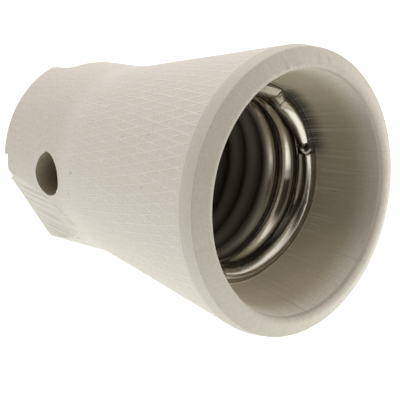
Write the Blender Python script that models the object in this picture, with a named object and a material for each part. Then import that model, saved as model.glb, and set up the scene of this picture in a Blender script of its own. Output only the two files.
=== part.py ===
"""Porcelain screw lampholder for an E27 heat lamp.

Frame: the lampholder's axis is Y. +Y leaves the rear face and the mouth looks along -Y. +Z is up, and the
cross hole in the neck points along -X. The origin is on the axis, in the plane of the rear face.

Two coordinates are used throughout. A station is a distance from the rear face towards the mouth, so
station s lies at y = -s. A bearing is an angle about the axis, counted from -X up towards +Z.
"""

import math

import bmesh
import bpy
from mathutils import Matrix, Vector

MM = 0.001
GAP = 0.3 * MM

# Porcelain body
LIP_STATION = 49.0 * MM
LIP_FRONT_STATION = 50.1 * MM
LIP_RADIUS = 20.3 * MM
MOUTH_RADIUS = 17.4 * MM
NECK_RADIUS = 14.7 * MM
NECK_LENGTH = 15.3 * MM
NECK_BEND = 3.0 * MM
REAR_EDGE_ROUND = 0.5 * MM
LIP_ROUND = 0.5 * MM
SKIRT_STATION = 47.0 * MM
SKIRT_FLARE = 0.183
LEDGE_STATION = 38.6 * MM
LEDGE_RADIUS = 14.75 * MM
SHELL_BORE_RADIUS = 13.9 * MM
SHELL_BORE_STATION = 19.0 * MM
BLOCK_BORE_RADIUS = 11.3 * MM
BLOCK_SEAT_STATION = 13.8 * MM
CAVITY_RADIUS = 9.8 * MM
REAR_WALL = 3.0 * MM
ENTRY_RADIUS = 4.6 * MM
CROSS_HOLE_STATION = 11.0 * MM
CROSS_HOLE_HALF_LENGTH = 2.65 * MM
CROSS_HOLE_HALF_WIDTH = 3.4 * MM
GROOVE_WIDTH = 4.0 * MM
GROOVE_DEPTH = 1.2 * MM

# Flats on the neck: a bearing, and the floor as (station, radius) points. One slants and one is stepped
LOWER_FLAT_BEARING = -31.5
LOWER_FLAT_FLOOR = ((0.0, 12.5 * MM), (13.5 * MM, NECK_RADIUS))
UPPER_FLAT_BEARING = 102.0
UPPER_FLAT_FLOOR = ((0.0, 13.1 * MM), (4.0 * MM, 13.1 * MM), (5.2 * MM, NECK_RADIUS))

EAR_THICKNESS = 3.4 * MM
EAR_HALF_WIDTH = 2.6 * MM
EAR_ROOT_RADIUS = CAVITY_RADIUS + 1.6 * MM

# Screws stand on one circle around the axis
BOLT_CIRCLE_RADIUS = 6.6 * MM
SHELL_SCREW_BEARINGS = {"left": 0.0, "right": 180.0}
BLOCK_SCREW_BEARINGS = {"upper": 120.0, "lower": 300.0}
CONTACT_BEARING = 60.0
NEUTRAL_WIRE_BEARING = 240.0
SHANK_RADIUS = 1.5 * MM
CLEARANCE_HOLE_RADIUS = SHANK_RADIUS + GAP
HEAD_RADIUS = 2.7 * MM
HEAD_HEIGHT = 1.9 * MM
SLOT_WIDTH = 0.8 * MM
SLOT_DEPTH = 0.9 * MM
SLOT_BEARING = 25.0
SCREW_CHAMFER = 0.25 * MM
NUT_ACROSS_FLATS = 5.5 * MM
NUT_THICKNESS = 2.4 * MM
THREAD_STANDOUT = 0.4 * MM
LOCK_WASHER_RADIUS = 2.6 * MM
LOCK_WASHER_THICKNESS = 0.7 * MM

# Threaded shell: an E27 thread, 7 turns to the inch
THREAD_PITCH = 25.4 / 7 * MM
THREAD_MEAN_RADIUS = 12.67 * MM
THREAD_DEPTH = 0.5 * MM
THREAD_PHASE = math.radians(200)
SHEET = 0.4 * MM
SHELL_FLOOR_STATION = 19.3 * MM
THREAD_END_STATION = 36.8 * MM
COLLAR_RADIUS = 12.75 * MM
RIM_INNER_RADIUS = 12.5 * MM
RIM_OUTER_RADIUS = 14.35 * MM
RIM_STATION = 38.9 * MM
RIM_FRONT_STATION = 39.5 * MM
RIM_ROUND = 0.25 * MM
TAB_HALF_WIDTH = 2.8 * MM
TAB_THICKNESS = 0.5 * MM

# Tongue that presses on the lamp's cap
TONGUE_BEARINGS = (121.5, 171.5)
TONGUE_SLIT_STATION = 37.5 * MM
TONGUE_REAR_STATION = 37.9 * MM
TONGUE_ROOT_FRONT_STATION = 41.2 * MM
TONGUE_TIP_FRONT_STATION = 40.0 * MM
TONGUE_ROOT_RADIUS = 13.25 * MM
TONGUE_PRESS_RADIUS = 12.85 * MM
TONGUE_HOOK_RADIUS = 13.75 * MM
TONGUE_HOOK_SHARE = 0.84
TONGUE_DIVE_SHARE = 0.3
TONGUE_END_CLEARANCE = 1.6

# Terminal block and what stands on it
BLOCK_RADIUS = 11.0 * MM
BLOCK_FRONT_STATION = 19.0 * MM
STRIP_THICKNESS = 0.5 * MM
FOOT_HALF_WIDTH = 2.1 * MM
LEAF_HALF_WIDTH = 1.9 * MM
LEAF_ROOT = 3.3 * MM
LEAF_TOP_STATION = 22.4 * MM
LEAF_OVERREACH = 2.3 * MM
LEAF_RISE_SHARE = 0.72
LEAF_RISE_POWER = 1.4
LEAF_CURL = 0.5 * MM
TERMINAL_THICKNESS = 1.5 * MM
TERMINAL_HALF_WIDTH = 2.3 * MM
SADDLE_SIDE = 4.6 * MM
SADDLE_THICKNESS = 0.8 * MM
WIRE_HEAD_RADIUS = 2.3 * MM
WIRE_SCREW_DEPTH = 3.2 * MM

# Entry bush
BUSH_BORE_RADIUS = 3.2 * MM
BUSH_FLANGE_RADIUS = 6.2 * MM
BUSH_FLANGE_THICKNESS = 1.0 * MM
BUSH_CHAMFER = 0.3 * MM

BODY_STEPS = 64
SHELL_STEPS = 40
SCREW_STEPS = 16

BLOCK_REAR_STATION = BLOCK_SEAT_STATION + GAP
STACK_STATION = BLOCK_FRONT_STATION + GAP + TAB_THICKNESS
TERMINAL_FRONT_STATION = BLOCK_REAR_STATION - GAP
TERMINAL_REAR_STATION = TERMINAL_FRONT_STATION - TERMINAL_THICKNESS


def clear_scene():
    for old in list(bpy.data.objects):
        bpy.data.objects.remove(old, do_unlink=True)


def finish(name, colour, roughness, metallic=0.0):
    material = bpy.data.materials.new(name)
    material.use_nodes = True
    shader = material.node_tree.nodes["Principled BSDF"]
    shader.inputs["Base Color"].default_value = (*colour, 1.0)
    shader.inputs["Roughness"].default_value = roughness
    shader.inputs["Metallic"].default_value = metallic
    material.diffuse_color = (*colour, 1.0)
    return material


def on_axis_circle(bearing, radius, station=0.0):
    """The point at this bearing, radius and station."""
    angle = math.radians(bearing)
    return Vector((-radius * math.cos(angle), -station, radius * math.sin(angle)))


def add_object(name, bm, material=None):
    """An object from a closed bmesh, its faces pointing out. Without a material it is a cutter or a guide."""
    bmesh.ops.remove_doubles(bm, verts=bm.verts, dist=1e-7)
    bmesh.ops.recalc_face_normals(bm, faces=bm.faces)
    mesh = bpy.data.meshes.new(name)
    bm.to_mesh(mesh)
    bm.free()
    item = bpy.data.objects.new(name, mesh)
    bpy.context.collection.objects.link(item)
    if material is None:
        item.hide_render = True
        item.display_type = "WIRE"
    else:
        mesh.materials.append(material)
        mesh.shade_smooth()
        mesh.set_sharp_from_angle(angle=math.radians(35))
    return item


def turned(name, outline, steps, material=None, solid=False):
    """Turn an outline of (station, radius) points about the axis into a ring, or a solid with flat ends."""
    bm = bmesh.new()
    verts = [bm.verts.new((radius, -station, 0.0)) for station, radius in outline]
    edges = [bm.edges.new(pair) for pair in zip(verts, verts[1:])]
    if not solid:
        edges.append(bm.edges.new((verts[-1], verts[0])))
    bmesh.ops.spin(
        bm, geom=verts + edges, axis=(0, 1, 0), cent=(0, 0, 0), angle=math.tau, steps=steps, use_merge=True
    )
    if solid:
        bmesh.ops.holes_fill(bm, edges=bm.edges)
    return add_object(name, bm, material)


def extruded(name, points, low_station, high_station, material=None):
    """Extrude an outline of (x, z) points between two stations."""
    bm = bmesh.new()
    face = bm.faces.new([bm.verts.new((x, -low_station, z)) for x, z in points])
    grown = bmesh.ops.extrude_face_region(bm, geom=[face])["geom"]
    moved = [item for item in grown if isinstance(item, bmesh.types.BMVert)]
    bmesh.ops.translate(bm, verts=moved, vec=(0, low_station - high_station, 0))
    return add_object(name, bm, material)


def circle_points(centre, radius, steps=SCREW_STEPS, turn=0.0):
    angles = [math.tau * step / steps + turn for step in range(steps)]
    return [(centre.x + radius * math.cos(a), centre.z + radius * math.sin(a)) for a in angles]


def capsule_points(start, end, radius, steps=8):
    """The outline around two equal circles, as (x, z) points."""
    heading = math.atan2(end.z - start.z, end.x - start.x)
    points = []
    for centre, first in ((end, heading - math.pi / 2), (start, heading + math.pi / 2)):
        for step in range(steps + 1):
            angle = first + math.pi * step / steps
            points.append((centre.x + radius * math.cos(angle), centre.z + radius * math.sin(angle)))
    return points


def box(name, size, matrix):
    bm = bmesh.new()
    bmesh.ops.create_cube(bm, size=1.0, matrix=matrix @ Matrix.Diagonal((*size, 1.0)))
    return add_object(name, bm)


def combine(item, tool, operation="DIFFERENCE"):
    modifier = item.modifiers.new(tool.name, "BOOLEAN")
    modifier.operation = operation
    modifier.object = tool
    modifier.solver = "EXACT"


def drill(item, centre, radius, low_station, high_station):
    """A round hole through the item, between two stations."""
    points = circle_points(centre, radius)
    combine(item, extruded(f"{item.name}_hole_cutter", points, low_station, high_station))


# Outlines ---------------------------------------------------------------------------------------------------


def skirt_radius(station):
    """The outer radius: a plain neck and a straight flare, joined by a soft bend."""
    reach = station - NECK_LENGTH
    if reach < NECK_BEND:
        return NECK_RADIUS + SKIRT_FLARE * max(0.0, reach + NECK_BEND) ** 2 / (4 * NECK_BEND)
    return NECK_RADIUS + SKIRT_FLARE * reach


def outer_outline():
    """The outside of the body from the rear edge to the lip, as (station, radius) points."""
    edge = REAR_EDGE_ROUND
    points = [(0.0, NECK_RADIUS - edge), (0.3 * edge, NECK_RADIUS - 0.3 * edge), (edge, NECK_RADIUS)]
    bend_end = NECK_LENGTH + NECK_BEND
    for first, last, rows in ((NECK_LENGTH - NECK_BEND, bend_end, 4), (bend_end, SKIRT_STATION, 6)):
        for row in range(rows):
            station = first + (last - first) * row / rows
            points.append((station, skirt_radius(station)))
    points.append((SKIRT_STATION, skirt_radius(SKIRT_STATION)))
    points.append(((SKIRT_STATION + 2 * LIP_STATION) / 3, skirt_radius(SKIRT_STATION) - 0.1 * LIP_ROUND))
    points.append((LIP_STATION, LIP_RADIUS))
    return points


def body_outline():
    return outer_outline() + [
        (LIP_FRONT_STATION - 0.2 * LIP_ROUND, MOUTH_RADIUS + 1.4 * LIP_ROUND),
        (LIP_FRONT_STATION, MOUTH_RADIUS + 0.5 * LIP_ROUND),
        (LIP_FRONT_STATION - LIP_ROUND, MOUTH_RADIUS - 0.15 * LIP_ROUND),
        (LEDGE_STATION, LEDGE_RADIUS),
        (LEDGE_STATION, SHELL_BORE_RADIUS),
        (SHELL_BORE_STATION, SHELL_BORE_RADIUS),
        (SHELL_BORE_STATION, BLOCK_BORE_RADIUS),
        (BLOCK_SEAT_STATION, BLOCK_BORE_RADIUS),
        (BLOCK_SEAT_STATION, CAVITY_RADIUS),
        (REAR_WALL, CAVITY_RADIUS),
        (REAR_WALL, ENTRY_RADIUS),
        (0.0, ENTRY_RADIUS),
    ]


# Pieces -----------------------------------------------------------------------------------------------------


def make_body(material):
    body = turned("porcelain_body", body_outline(), BODY_STEPS, material)
    for place, bearing in BLOCK_SCREW_BEARINGS.items():
        inner = on_axis_circle(bearing, BOLT_CIRCLE_RADIUS)
        outer = on_axis_circle(bearing, EAR_ROOT_RADIUS)
        points = capsule_points(inner, outer, EAR_HALF_WIDTH)
        low = BLOCK_SEAT_STATION - EAR_THICKNESS
        ear = extruded(f"ear_{place}_guide", points, low, BLOCK_SEAT_STATION)
        combine(body, ear, "UNION")
    for bearing in BLOCK_SCREW_BEARINGS.values():
        centre = on_axis_circle(bearing, BOLT_CIRCLE_RADIUS)
        drill(body, centre, CLEARANCE_HOLE_RADIUS, REAR_WALL + MM, SHELL_BORE_STATION)

    combine(body, flat_cutter("lower_flat_cutter", LOWER_FLAT_BEARING, LOWER_FLAT_FLOOR))
    combine(body, flat_cutter("upper_flat_cutter", UPPER_FLAT_BEARING, UPPER_FLAT_FLOOR))
    for turn in range(4):
        combine(body, groove_cutter(90.0 * turn))
    combine(body, cross_hole_cutter())
    return body


def flat_cutter(name, bearing, floor):
    """A flat across the neck, over a floor that ends at the neck's own radius."""
    outward = on_axis_circle(bearing, 1.0)
    across = on_axis_circle(bearing + 90.0, 1.0)
    (near, near_radius), (far, far_radius) = floor[-2:]
    slope = (far_radius - near_radius) / (far - near)
    # The cutter starts behind the rear face and runs a little past the end of its floor, clear of the body
    past = 0.3 * MM
    behind = (-2 * MM, floor[0][1])
    profile = [behind, *floor[:-1], (far + past, far_radius + slope * past)]
    profile += [(far + past, 1.5 * NECK_RADIUS), (behind[0], 1.5 * NECK_RADIUS)]
    bm = bmesh.new()
    verts = []
    for station, radius in profile:
        verts.append(bm.verts.new(outward * radius - across * NECK_RADIUS + Vector((0.0, -station, 0.0))))
    grown = bmesh.ops.extrude_face_region(bm, geom=[bm.faces.new(verts)])["geom"]
    moved = [item for item in grown if isinstance(item, bmesh.types.BMVert)]
    bmesh.ops.translate(bm, verts=moved, vec=across * 2 * NECK_RADIUS)
    return add_object(name, bm)


def groove_cutter(bearing):
    """A shallow groove in the rear face, from the entry to the outside."""
    length = NECK_RADIUS - ENTRY_RADIUS + 4 * MM
    centre = on_axis_circle(bearing, ENTRY_RADIUS - 2 * MM + length / 2)
    rotation = Matrix.Rotation(math.radians(bearing), 4, "Y")
    size = (length, 2 * GROOVE_DEPTH, GROOVE_WIDTH)
    return box(f"groove_{bearing:.0f}_cutter", size, Matrix.Translation(centre) @ rotation)


def cross_hole_cutter():
    """An oval hole through the neck wall, towards -X."""
    bm = bmesh.new()
    steps = 24
    near, far = -0.6 * CAVITY_RADIUS, -1.15 * NECK_RADIUS
    verts = []
    for step in range(steps):
        angle = math.tau * step / steps
        y = -CROSS_HOLE_STATION + CROSS_HOLE_HALF_LENGTH * math.cos(angle)
        verts.append(bm.verts.new((near, y, CROSS_HOLE_HALF_WIDTH * math.sin(angle))))
    grown = bmesh.ops.extrude_face_region(bm, geom=[bm.faces.new(verts)])["geom"]
    moved = [item for item in grown if isinstance(item, bmesh.types.BMVert)]
    bmesh.ops.translate(bm, verts=moved, vec=(far - near, 0, 0))
    return add_object("cross_hole_cutter", bm)


def thread_radius(station, angle):
    """The inner radius of the right-handed thread, at an angle counted as a bearing is."""
    turns = math.tau * station / THREAD_PITCH
    runout = min(1.0, (THREAD_END_STATION - station) / (0.6 * THREAD_PITCH))
    wave = math.cos(turns + angle + THREAD_PHASE) * max(0.0, runout)
    return THREAD_MEAN_RADIUS + THREAD_DEPTH * wave


def make_shell(material):
    """The threaded tube, collar and rolled rim as one grid of rings, with two tabs and the tongue's gap."""
    rows = round((THREAD_END_STATION - SHELL_FLOOR_STATION) / (THREAD_PITCH / 5))
    step = (THREAD_END_STATION - SHELL_FLOOR_STATION) / rows
    stations = [SHELL_FLOOR_STATION + step * row for row in range(rows + 1)]
    inside = [(station, None, 0.0) for station in stations]
    rim = [
        (TONGUE_SLIT_STATION + 0.2 * MM, COLLAR_RADIUS, 0.0),
        (RIM_FRONT_STATION - RIM_ROUND, RIM_INNER_RADIUS, 0.0),
        (RIM_FRONT_STATION, RIM_INNER_RADIUS + RIM_ROUND, 0.0),
        (RIM_FRONT_STATION, RIM_OUTER_RADIUS - RIM_ROUND, 0.0),
        (RIM_FRONT_STATION - RIM_ROUND, RIM_OUTER_RADIUS, 0.0),
        (RIM_STATION, RIM_OUTER_RADIUS, 0.0),
        (RIM_STATION, COLLAR_RADIUS + SHEET, 0.0),
    ]
    outside = [(station, None, SHEET) for station in reversed(stations)]
    bm = bmesh.new()
    rings = []
    for station, radius, offset in inside + rim + outside:
        ring = []
        for index in range(SHELL_STEPS):
            angle = math.tau * index / SHELL_STEPS
            size = radius if radius is not None else thread_radius(station, angle) + offset
            ring.append(bm.verts.new(on_axis_circle(math.degrees(angle), size, station)))
        rings.append(ring)
    for ring, following in zip(rings, rings[1:] + rings[:1]):
        for index in range(SHELL_STEPS):
            other = (index + 1) % SHELL_STEPS
            bm.faces.new((ring[index], ring[other], following[other], following[index]))
    shell = add_object("screw_shell", bm, material)

    for place, bearing in SHELL_SCREW_BEARINGS.items():
        centre = on_axis_circle(bearing, BOLT_CIRCLE_RADIUS)
        top = SHELL_FLOOR_STATION + TAB_THICKNESS
        combine(shell, extruded(f"tab_{place}_guide", tab_points(bearing), SHELL_FLOOR_STATION, top), "UNION")
        drill(shell, centre, CLEARANCE_HOLE_RADIUS, SHELL_FLOOR_STATION - MM, top + MM)
    combine(shell, tongue_gap_cutter())
    return shell


def tab_points(bearing):
    """A tab with a round inner end and straight sides, whose outer end lies within the shell's wall."""
    centre = on_axis_circle(bearing, BOLT_CIRCLE_RADIUS)
    outward = on_axis_circle(bearing, 1.0)
    side = on_axis_circle(bearing + 90.0, 1.0)
    points = [(centre + side * TAB_HALF_WIDTH * math.cos(a) - outward * TAB_HALF_WIDTH * math.sin(a))
              for a in (math.pi * step / 8 for step in range(9))]
    spread = math.degrees(TAB_HALF_WIDTH / THREAD_MEAN_RADIUS)
    for step in range(7):
        place = bearing + spread * (step - 3) / 3
        wall = thread_radius(SHELL_FLOOR_STATION + TAB_THICKNESS / 2, math.radians(place)) + SHEET / 2
        points.append(on_axis_circle(place, wall))
    return [(point.x, point.z) for point in points]


def sector_points(first, last, inner, outer, steps):
    """A ring sector between two bearings, as (x, z) points."""
    bearings = [first + (last - first) * step / steps for step in range(steps + 1)]
    points = [on_axis_circle(bearing, outer) for bearing in bearings]
    points += [on_axis_circle(bearing, inner) for bearing in reversed(bearings)]
    return [(point.x, point.z) for point in points]


def tongue_gap_cutter():
    first, last = TONGUE_BEARINGS
    points = sector_points(first, last, RIM_INNER_RADIUS - 2 * MM, RIM_OUTER_RADIUS + 2 * MM, 8)
    return extruded("tongue_gap_cutter", points, TONGUE_SLIT_STATION, RIM_FRONT_STATION + 2 * MM)


def tongue_section(share):
    """Middle radius, rear station and front station along the tongue, from its root to its hooked end."""
    dive = 0.5 - 0.5 * math.cos(math.pi * min(1.0, share / TONGUE_DIVE_SHARE))
    hook = max(0.0, (share - TONGUE_HOOK_SHARE) / (1.0 - TONGUE_HOOK_SHARE))
    radius = TONGUE_ROOT_RADIUS + (TONGUE_PRESS_RADIUS - TONGUE_ROOT_RADIUS) * dive
    radius += (TONGUE_HOOK_RADIUS - TONGUE_PRESS_RADIUS) * hook
    rear = TONGUE_REAR_STATION + (RIM_STATION - TONGUE_REAR_STATION) * min(1.0, 2.0 * hook)
    front = TONGUE_ROOT_FRONT_STATION + (TONGUE_TIP_FRONT_STATION - TONGUE_ROOT_FRONT_STATION) * share
    return radius, rear, front


def make_tongue(material):
    """A band of sheet on edge. Its origin is at its root, where it bends."""
    first, last = TONGUE_BEARINGS[0] + TONGUE_END_CLEARANCE, TONGUE_BEARINGS[1] - TONGUE_END_CLEARANCE
    steps = 18
    bm = bmesh.new()
    sections = []
    for step in range(steps + 1):
        share = step / steps
        bearing = first + (last - first) * share
        radius, rear, front = tongue_section(share)
        corners = ((radius - SHEET / 2, rear), (radius + SHEET / 2, rear),
                   (radius + SHEET / 2, front), (radius - SHEET / 2, front))
        sections.append([bm.verts.new(on_axis_circle(bearing, size, station)) for size, station in corners])
    skin_sections(bm, sections)
    tongue = add_object("retention_spring", bm, material)
    move_origin(tongue, on_axis_circle(first, TONGUE_ROOT_RADIUS, TONGUE_REAR_STATION))
    return tongue


def skin_sections(bm, sections):
    """Close a row of four-cornered sections into one solid."""
    for section, following in zip(sections, sections[1:]):
        for index in range(4):
            other = (index + 1) % 4
            bm.faces.new((section[index], section[other], following[other], following[index]))
    bm.faces.new(sections[0])
    bm.faces.new(sections[-1])


def move_origin(item, point):
    """Put the object's origin at a point and leave its shape where it is."""
    item.data.transform(Matrix.Translation(-point))
    item.location = point


def make_block(material):
    edge = 0.5 * MM
    outline = [
        (BLOCK_REAR_STATION, BLOCK_RADIUS - edge),
        (BLOCK_REAR_STATION + edge, BLOCK_RADIUS),
        (BLOCK_FRONT_STATION - edge, BLOCK_RADIUS),
        (BLOCK_FRONT_STATION, BLOCK_RADIUS - edge),
    ]
    block = turned("terminal_block", outline, 40, material, solid=True)
    through = [*SHELL_SCREW_BEARINGS.values(), *BLOCK_SCREW_BEARINGS.values(), CONTACT_BEARING]
    for bearing in through:
        centre = on_axis_circle(bearing, BOLT_CIRCLE_RADIUS)
        drill(block, centre, CLEARANCE_HOLE_RADIUS, BLOCK_REAR_STATION - MM, BLOCK_FRONT_STATION + MM)
    blind_end = BLOCK_REAR_STATION + WIRE_SCREW_DEPTH + GAP
    for centre in (live_wire_point(), neutral_wire_point()):
        drill(block, centre, CLEARANCE_HOLE_RADIUS, BLOCK_REAR_STATION - MM, blind_end)
    return block


def live_wire_point():
    return Vector((0.0, 0.0, 0.0))


def neutral_wire_point():
    return on_axis_circle(NEUTRAL_WIRE_BEARING, BOLT_CIRCLE_RADIUS)


def make_contact_foot(material):
    start = on_axis_circle(CONTACT_BEARING, BOLT_CIRCLE_RADIUS)
    along = on_axis_circle(CONTACT_BEARING, 1.0)
    side = Vector((-along.z, 0.0, along.x))
    inner = along * (LEAF_ROOT + GAP)
    points = [(start + side * FOOT_HALF_WIDTH * math.cos(a) + along * FOOT_HALF_WIDTH * math.sin(a))
              for a in (math.pi * step / 8 for step in range(9))]
    points += [inner - side * FOOT_HALF_WIDTH, inner + side * FOOT_HALF_WIDTH]
    outline = [(point.x, point.z) for point in points]
    low = BLOCK_FRONT_STATION + GAP
    foot = extruded("contact_foot", outline, low, low + STRIP_THICKNESS, material)
    drill(foot, start, CLEARANCE_HOLE_RADIUS, low - MM, low + STRIP_THICKNESS + MM)
    return foot


def make_contact_leaf(material):
    """The sprung end of the contact strip. Its origin is at its root, where it bends."""
    along = on_axis_circle(CONTACT_BEARING, 1.0)
    side = Vector((-along.z, 0.0, along.x))
    root_station = BLOCK_FRONT_STATION + GAP + STRIP_THICKNESS / 2
    rows = 12
    path = []
    for row in range(rows + 1):
        share = row / rows
        reach = LEAF_ROOT - share * (LEAF_ROOT + LEAF_OVERREACH)
        rise = math.sin(min(1.0, share / LEAF_RISE_SHARE) * math.pi / 2) ** LEAF_RISE_POWER
        curl = LEAF_CURL * max(0.0, share - LEAF_RISE_SHARE) / (1.0 - LEAF_RISE_SHARE)
        path.append((reach, root_station + (LEAF_TOP_STATION - root_station) * rise - curl))
    bm = bmesh.new()
    sections = []
    for row, (reach, station) in enumerate(path):
        before, after = path[max(0, row - 1)], path[min(rows, row + 1)]
        slope = Vector((after[0] - before[0], after[1] - before[1])).normalized()
        section = []
        for width, thick in ((-1, -1), (1, -1), (1, 1), (-1, 1)):
            offset = thick * STRIP_THICKNESS / 2
            point = along * (reach + offset * slope.y) + side * width * LEAF_HALF_WIDTH
            point.y = -(station - offset * slope.x)
            section.append(bm.verts.new(point))
        sections.append(section)
    skin_sections(bm, sections)
    leaf = add_object("contact_leaf", bm, material)
    move_origin(leaf, along * LEAF_ROOT + Vector((0.0, -root_station, 0.0)))
    return leaf


def make_screw(name, centre, seat_station, end_station, material, head_radius=HEAD_RADIUS):
    """A slotted cheese-head screw. Its head lies on seat_station and its shank runs to end_station."""
    facing = 1.0 if seat_station > end_station else -1.0
    chamfer = SCREW_CHAMFER
    top = seat_station + facing * HEAD_HEIGHT
    outline = [
        (top, head_radius - chamfer),
        (top - facing * chamfer, head_radius),
        (seat_station, head_radius),
        (seat_station, SHANK_RADIUS),
        (end_station + facing * chamfer, SHANK_RADIUS),
        (end_station, SHANK_RADIUS - chamfer),
    ]
    screw = turned(name, outline, SCREW_STEPS, material, solid=True)
    place = Matrix.Translation((0, -top, 0)) @ Matrix.Rotation(math.radians(SLOT_BEARING), 4, "Y")
    slot = box(f"{name}_slot_cutter", (3 * head_radius, 2 * SLOT_DEPTH, SLOT_WIDTH), place)
    for item in (screw, slot):
        item.location = centre
    combine(screw, slot)
    return screw


def make_lock_washer(name, centre, low_station, material):
    """A split spring washer."""
    points = sector_points(8.0, 352.0, CLEARANCE_HOLE_RADIUS, LOCK_WASHER_RADIUS, 20)
    washer = extruded(name, points, low_station, low_station + LOCK_WASHER_THICKNESS, material)
    washer.location = centre
    return washer


def make_nut(name, centre, high_station, bearing, material):
    """A hexagon nut with one of its flats across the given bearing."""
    radius = NUT_ACROSS_FLATS / 2 / math.cos(math.pi / 6)
    turn = math.pi / 6 - math.radians(bearing)
    points = circle_points(centre, radius, 6, turn)
    nut = extruded(name, points, high_station - NUT_THICKNESS, high_station, material)
    drill(nut, centre, CLEARANCE_HOLE_RADIUS, high_station - NUT_THICKNESS - MM, high_station + MM)
    return nut


def make_terminal(name, contact_point, wire_point, material):
    """A brass plate behind the block, from a contact's screw to a wire's screw."""
    points = capsule_points(contact_point, wire_point, TERMINAL_HALF_WIDTH)
    plate = extruded(name, points, TERMINAL_REAR_STATION, TERMINAL_FRONT_STATION, material)
    for centre in (contact_point, wire_point):
        drill(plate, centre, CLEARANCE_HOLE_RADIUS, TERMINAL_REAR_STATION - MM, TERMINAL_FRONT_STATION + MM)
    return plate


def make_wire_clamp(place, centre, bearing, screw_material, saddle_material):
    """The screw and the square saddle that clamp a supply wire. Both face the rear and travel together."""
    saddle_front = TERMINAL_REAR_STATION - GAP
    saddle_rear = saddle_front - SADDLE_THICKNESS
    half = SADDLE_SIDE / 2 * math.sqrt(2)
    points = circle_points(centre, half, 4, math.pi / 4 - math.radians(bearing))
    saddle = extruded(f"{place}_clamp_washer", points, saddle_rear, saddle_front, saddle_material)
    drill(saddle, centre, CLEARANCE_HOLE_RADIUS, saddle_rear - MM, saddle_front + MM)
    end = BLOCK_REAR_STATION + WIRE_SCREW_DEPTH
    make_screw(f"{place}_wire_screw", centre, saddle_rear - GAP, end, screw_material, WIRE_HEAD_RADIUS)


def make_bush(material):
    tube = ENTRY_RADIUS - GAP
    flange = REAR_WALL + GAP
    outline = [
        (GAP, BUSH_BORE_RADIUS + BUSH_CHAMFER),
        (GAP, tube),
        (flange, tube),
        (flange, BUSH_FLANGE_RADIUS),
        (flange + BUSH_FLANGE_THICKNESS, BUSH_FLANGE_RADIUS),
        (flange + BUSH_FLANGE_THICKNESS, BUSH_BORE_RADIUS + BUSH_CHAMFER),
        (flange + BUSH_FLANGE_THICKNESS - BUSH_CHAMFER, BUSH_BORE_RADIUS),
        (GAP + BUSH_CHAMFER, BUSH_BORE_RADIUS),
    ]
    return turned("entry_bush", outline, 32, material)


def main():
    clear_scene()
    porcelain = finish("porcelain", (0.60, 0.56, 0.50), 0.75)
    steatite = finish("steatite", (0.55, 0.52, 0.46), 0.6)
    nickel = finish("nickel_plate", (0.72, 0.69, 0.63), 0.16, 1.0)
    brass = finish("brass", (0.72, 0.52, 0.25), 0.3, 1.0)
    steel = finish("zinc_steel", (0.62, 0.62, 0.62), 0.35, 1.0)
    silicone = finish("silicone", (0.42, 0.40, 0.37), 0.6)

    make_body(porcelain)
    make_block(steatite)
    make_shell(nickel)
    make_tongue(nickel)
    make_contact_foot(brass)
    make_contact_leaf(brass)

    washer_station = STACK_STATION + GAP
    head_station = washer_station + LOCK_WASHER_THICKNESS + GAP
    plate_end = TERMINAL_REAR_STATION - THREAD_STANDOUT
    nut_end = TERMINAL_FRONT_STATION - NUT_THICKNESS - THREAD_STANDOUT

    for place, bearing in SHELL_SCREW_BEARINGS.items():
        centre = on_axis_circle(bearing, BOLT_CIRCLE_RADIUS)
        end = nut_end if place == "left" else plate_end
        make_screw(f"shell_screw_{place}", centre, head_station, end, steel)
        make_lock_washer(f"shell_lock_washer_{place}", centre, washer_station, steel)
    left = SHELL_SCREW_BEARINGS["left"]
    make_nut("shell_nut", on_axis_circle(left, BOLT_CIRCLE_RADIUS), TERMINAL_FRONT_STATION, left, steel)

    contact_point = on_axis_circle(CONTACT_BEARING, BOLT_CIRCLE_RADIUS)
    make_screw("contact_screw", contact_point, head_station, plate_end, steel)
    make_lock_washer("contact_lock_washer", contact_point, washer_station, steel)

    shell_point = on_axis_circle(SHELL_SCREW_BEARINGS["right"], BOLT_CIRCLE_RADIUS)
    make_terminal("live_terminal", contact_point, live_wire_point(), brass)
    make_terminal("neutral_terminal", shell_point, neutral_wire_point(), brass)
    make_wire_clamp("live", live_wire_point(), CONTACT_BEARING, steel, brass)
    make_wire_clamp("neutral", neutral_wire_point(), NEUTRAL_WIRE_BEARING, steel, brass)

    block_washer_station = BLOCK_FRONT_STATION + GAP
    block_head_station = block_washer_station + LOCK_WASHER_THICKNESS + GAP
    nut_station = BLOCK_SEAT_STATION - EAR_THICKNESS - GAP
    block_screw_end = nut_station - NUT_THICKNESS - THREAD_STANDOUT
    for place, bearing in BLOCK_SCREW_BEARINGS.items():
        centre = on_axis_circle(bearing, BOLT_CIRCLE_RADIUS)
        make_screw(f"block_screw_{place}", centre, block_head_station, block_screw_end, steel)
        make_lock_washer(f"block_lock_washer_{place}", centre, block_washer_station, steel)
        make_nut(f"block_nut_{place}", centre, nut_station, bearing, steel)
    make_bush(silicone)


main()
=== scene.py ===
"""The looks of a porcelain E27 screw lampholder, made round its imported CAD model.

A station is a distance from the rear face towards the mouth, so station s lies at y = -s. A bearing is an
angle about the axis, counted from -X up towards +Z. Lengths are in metres.
"""

import math

import bmesh
import bpy
import numpy as np
from mathutils import Matrix, Vector, noise


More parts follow.
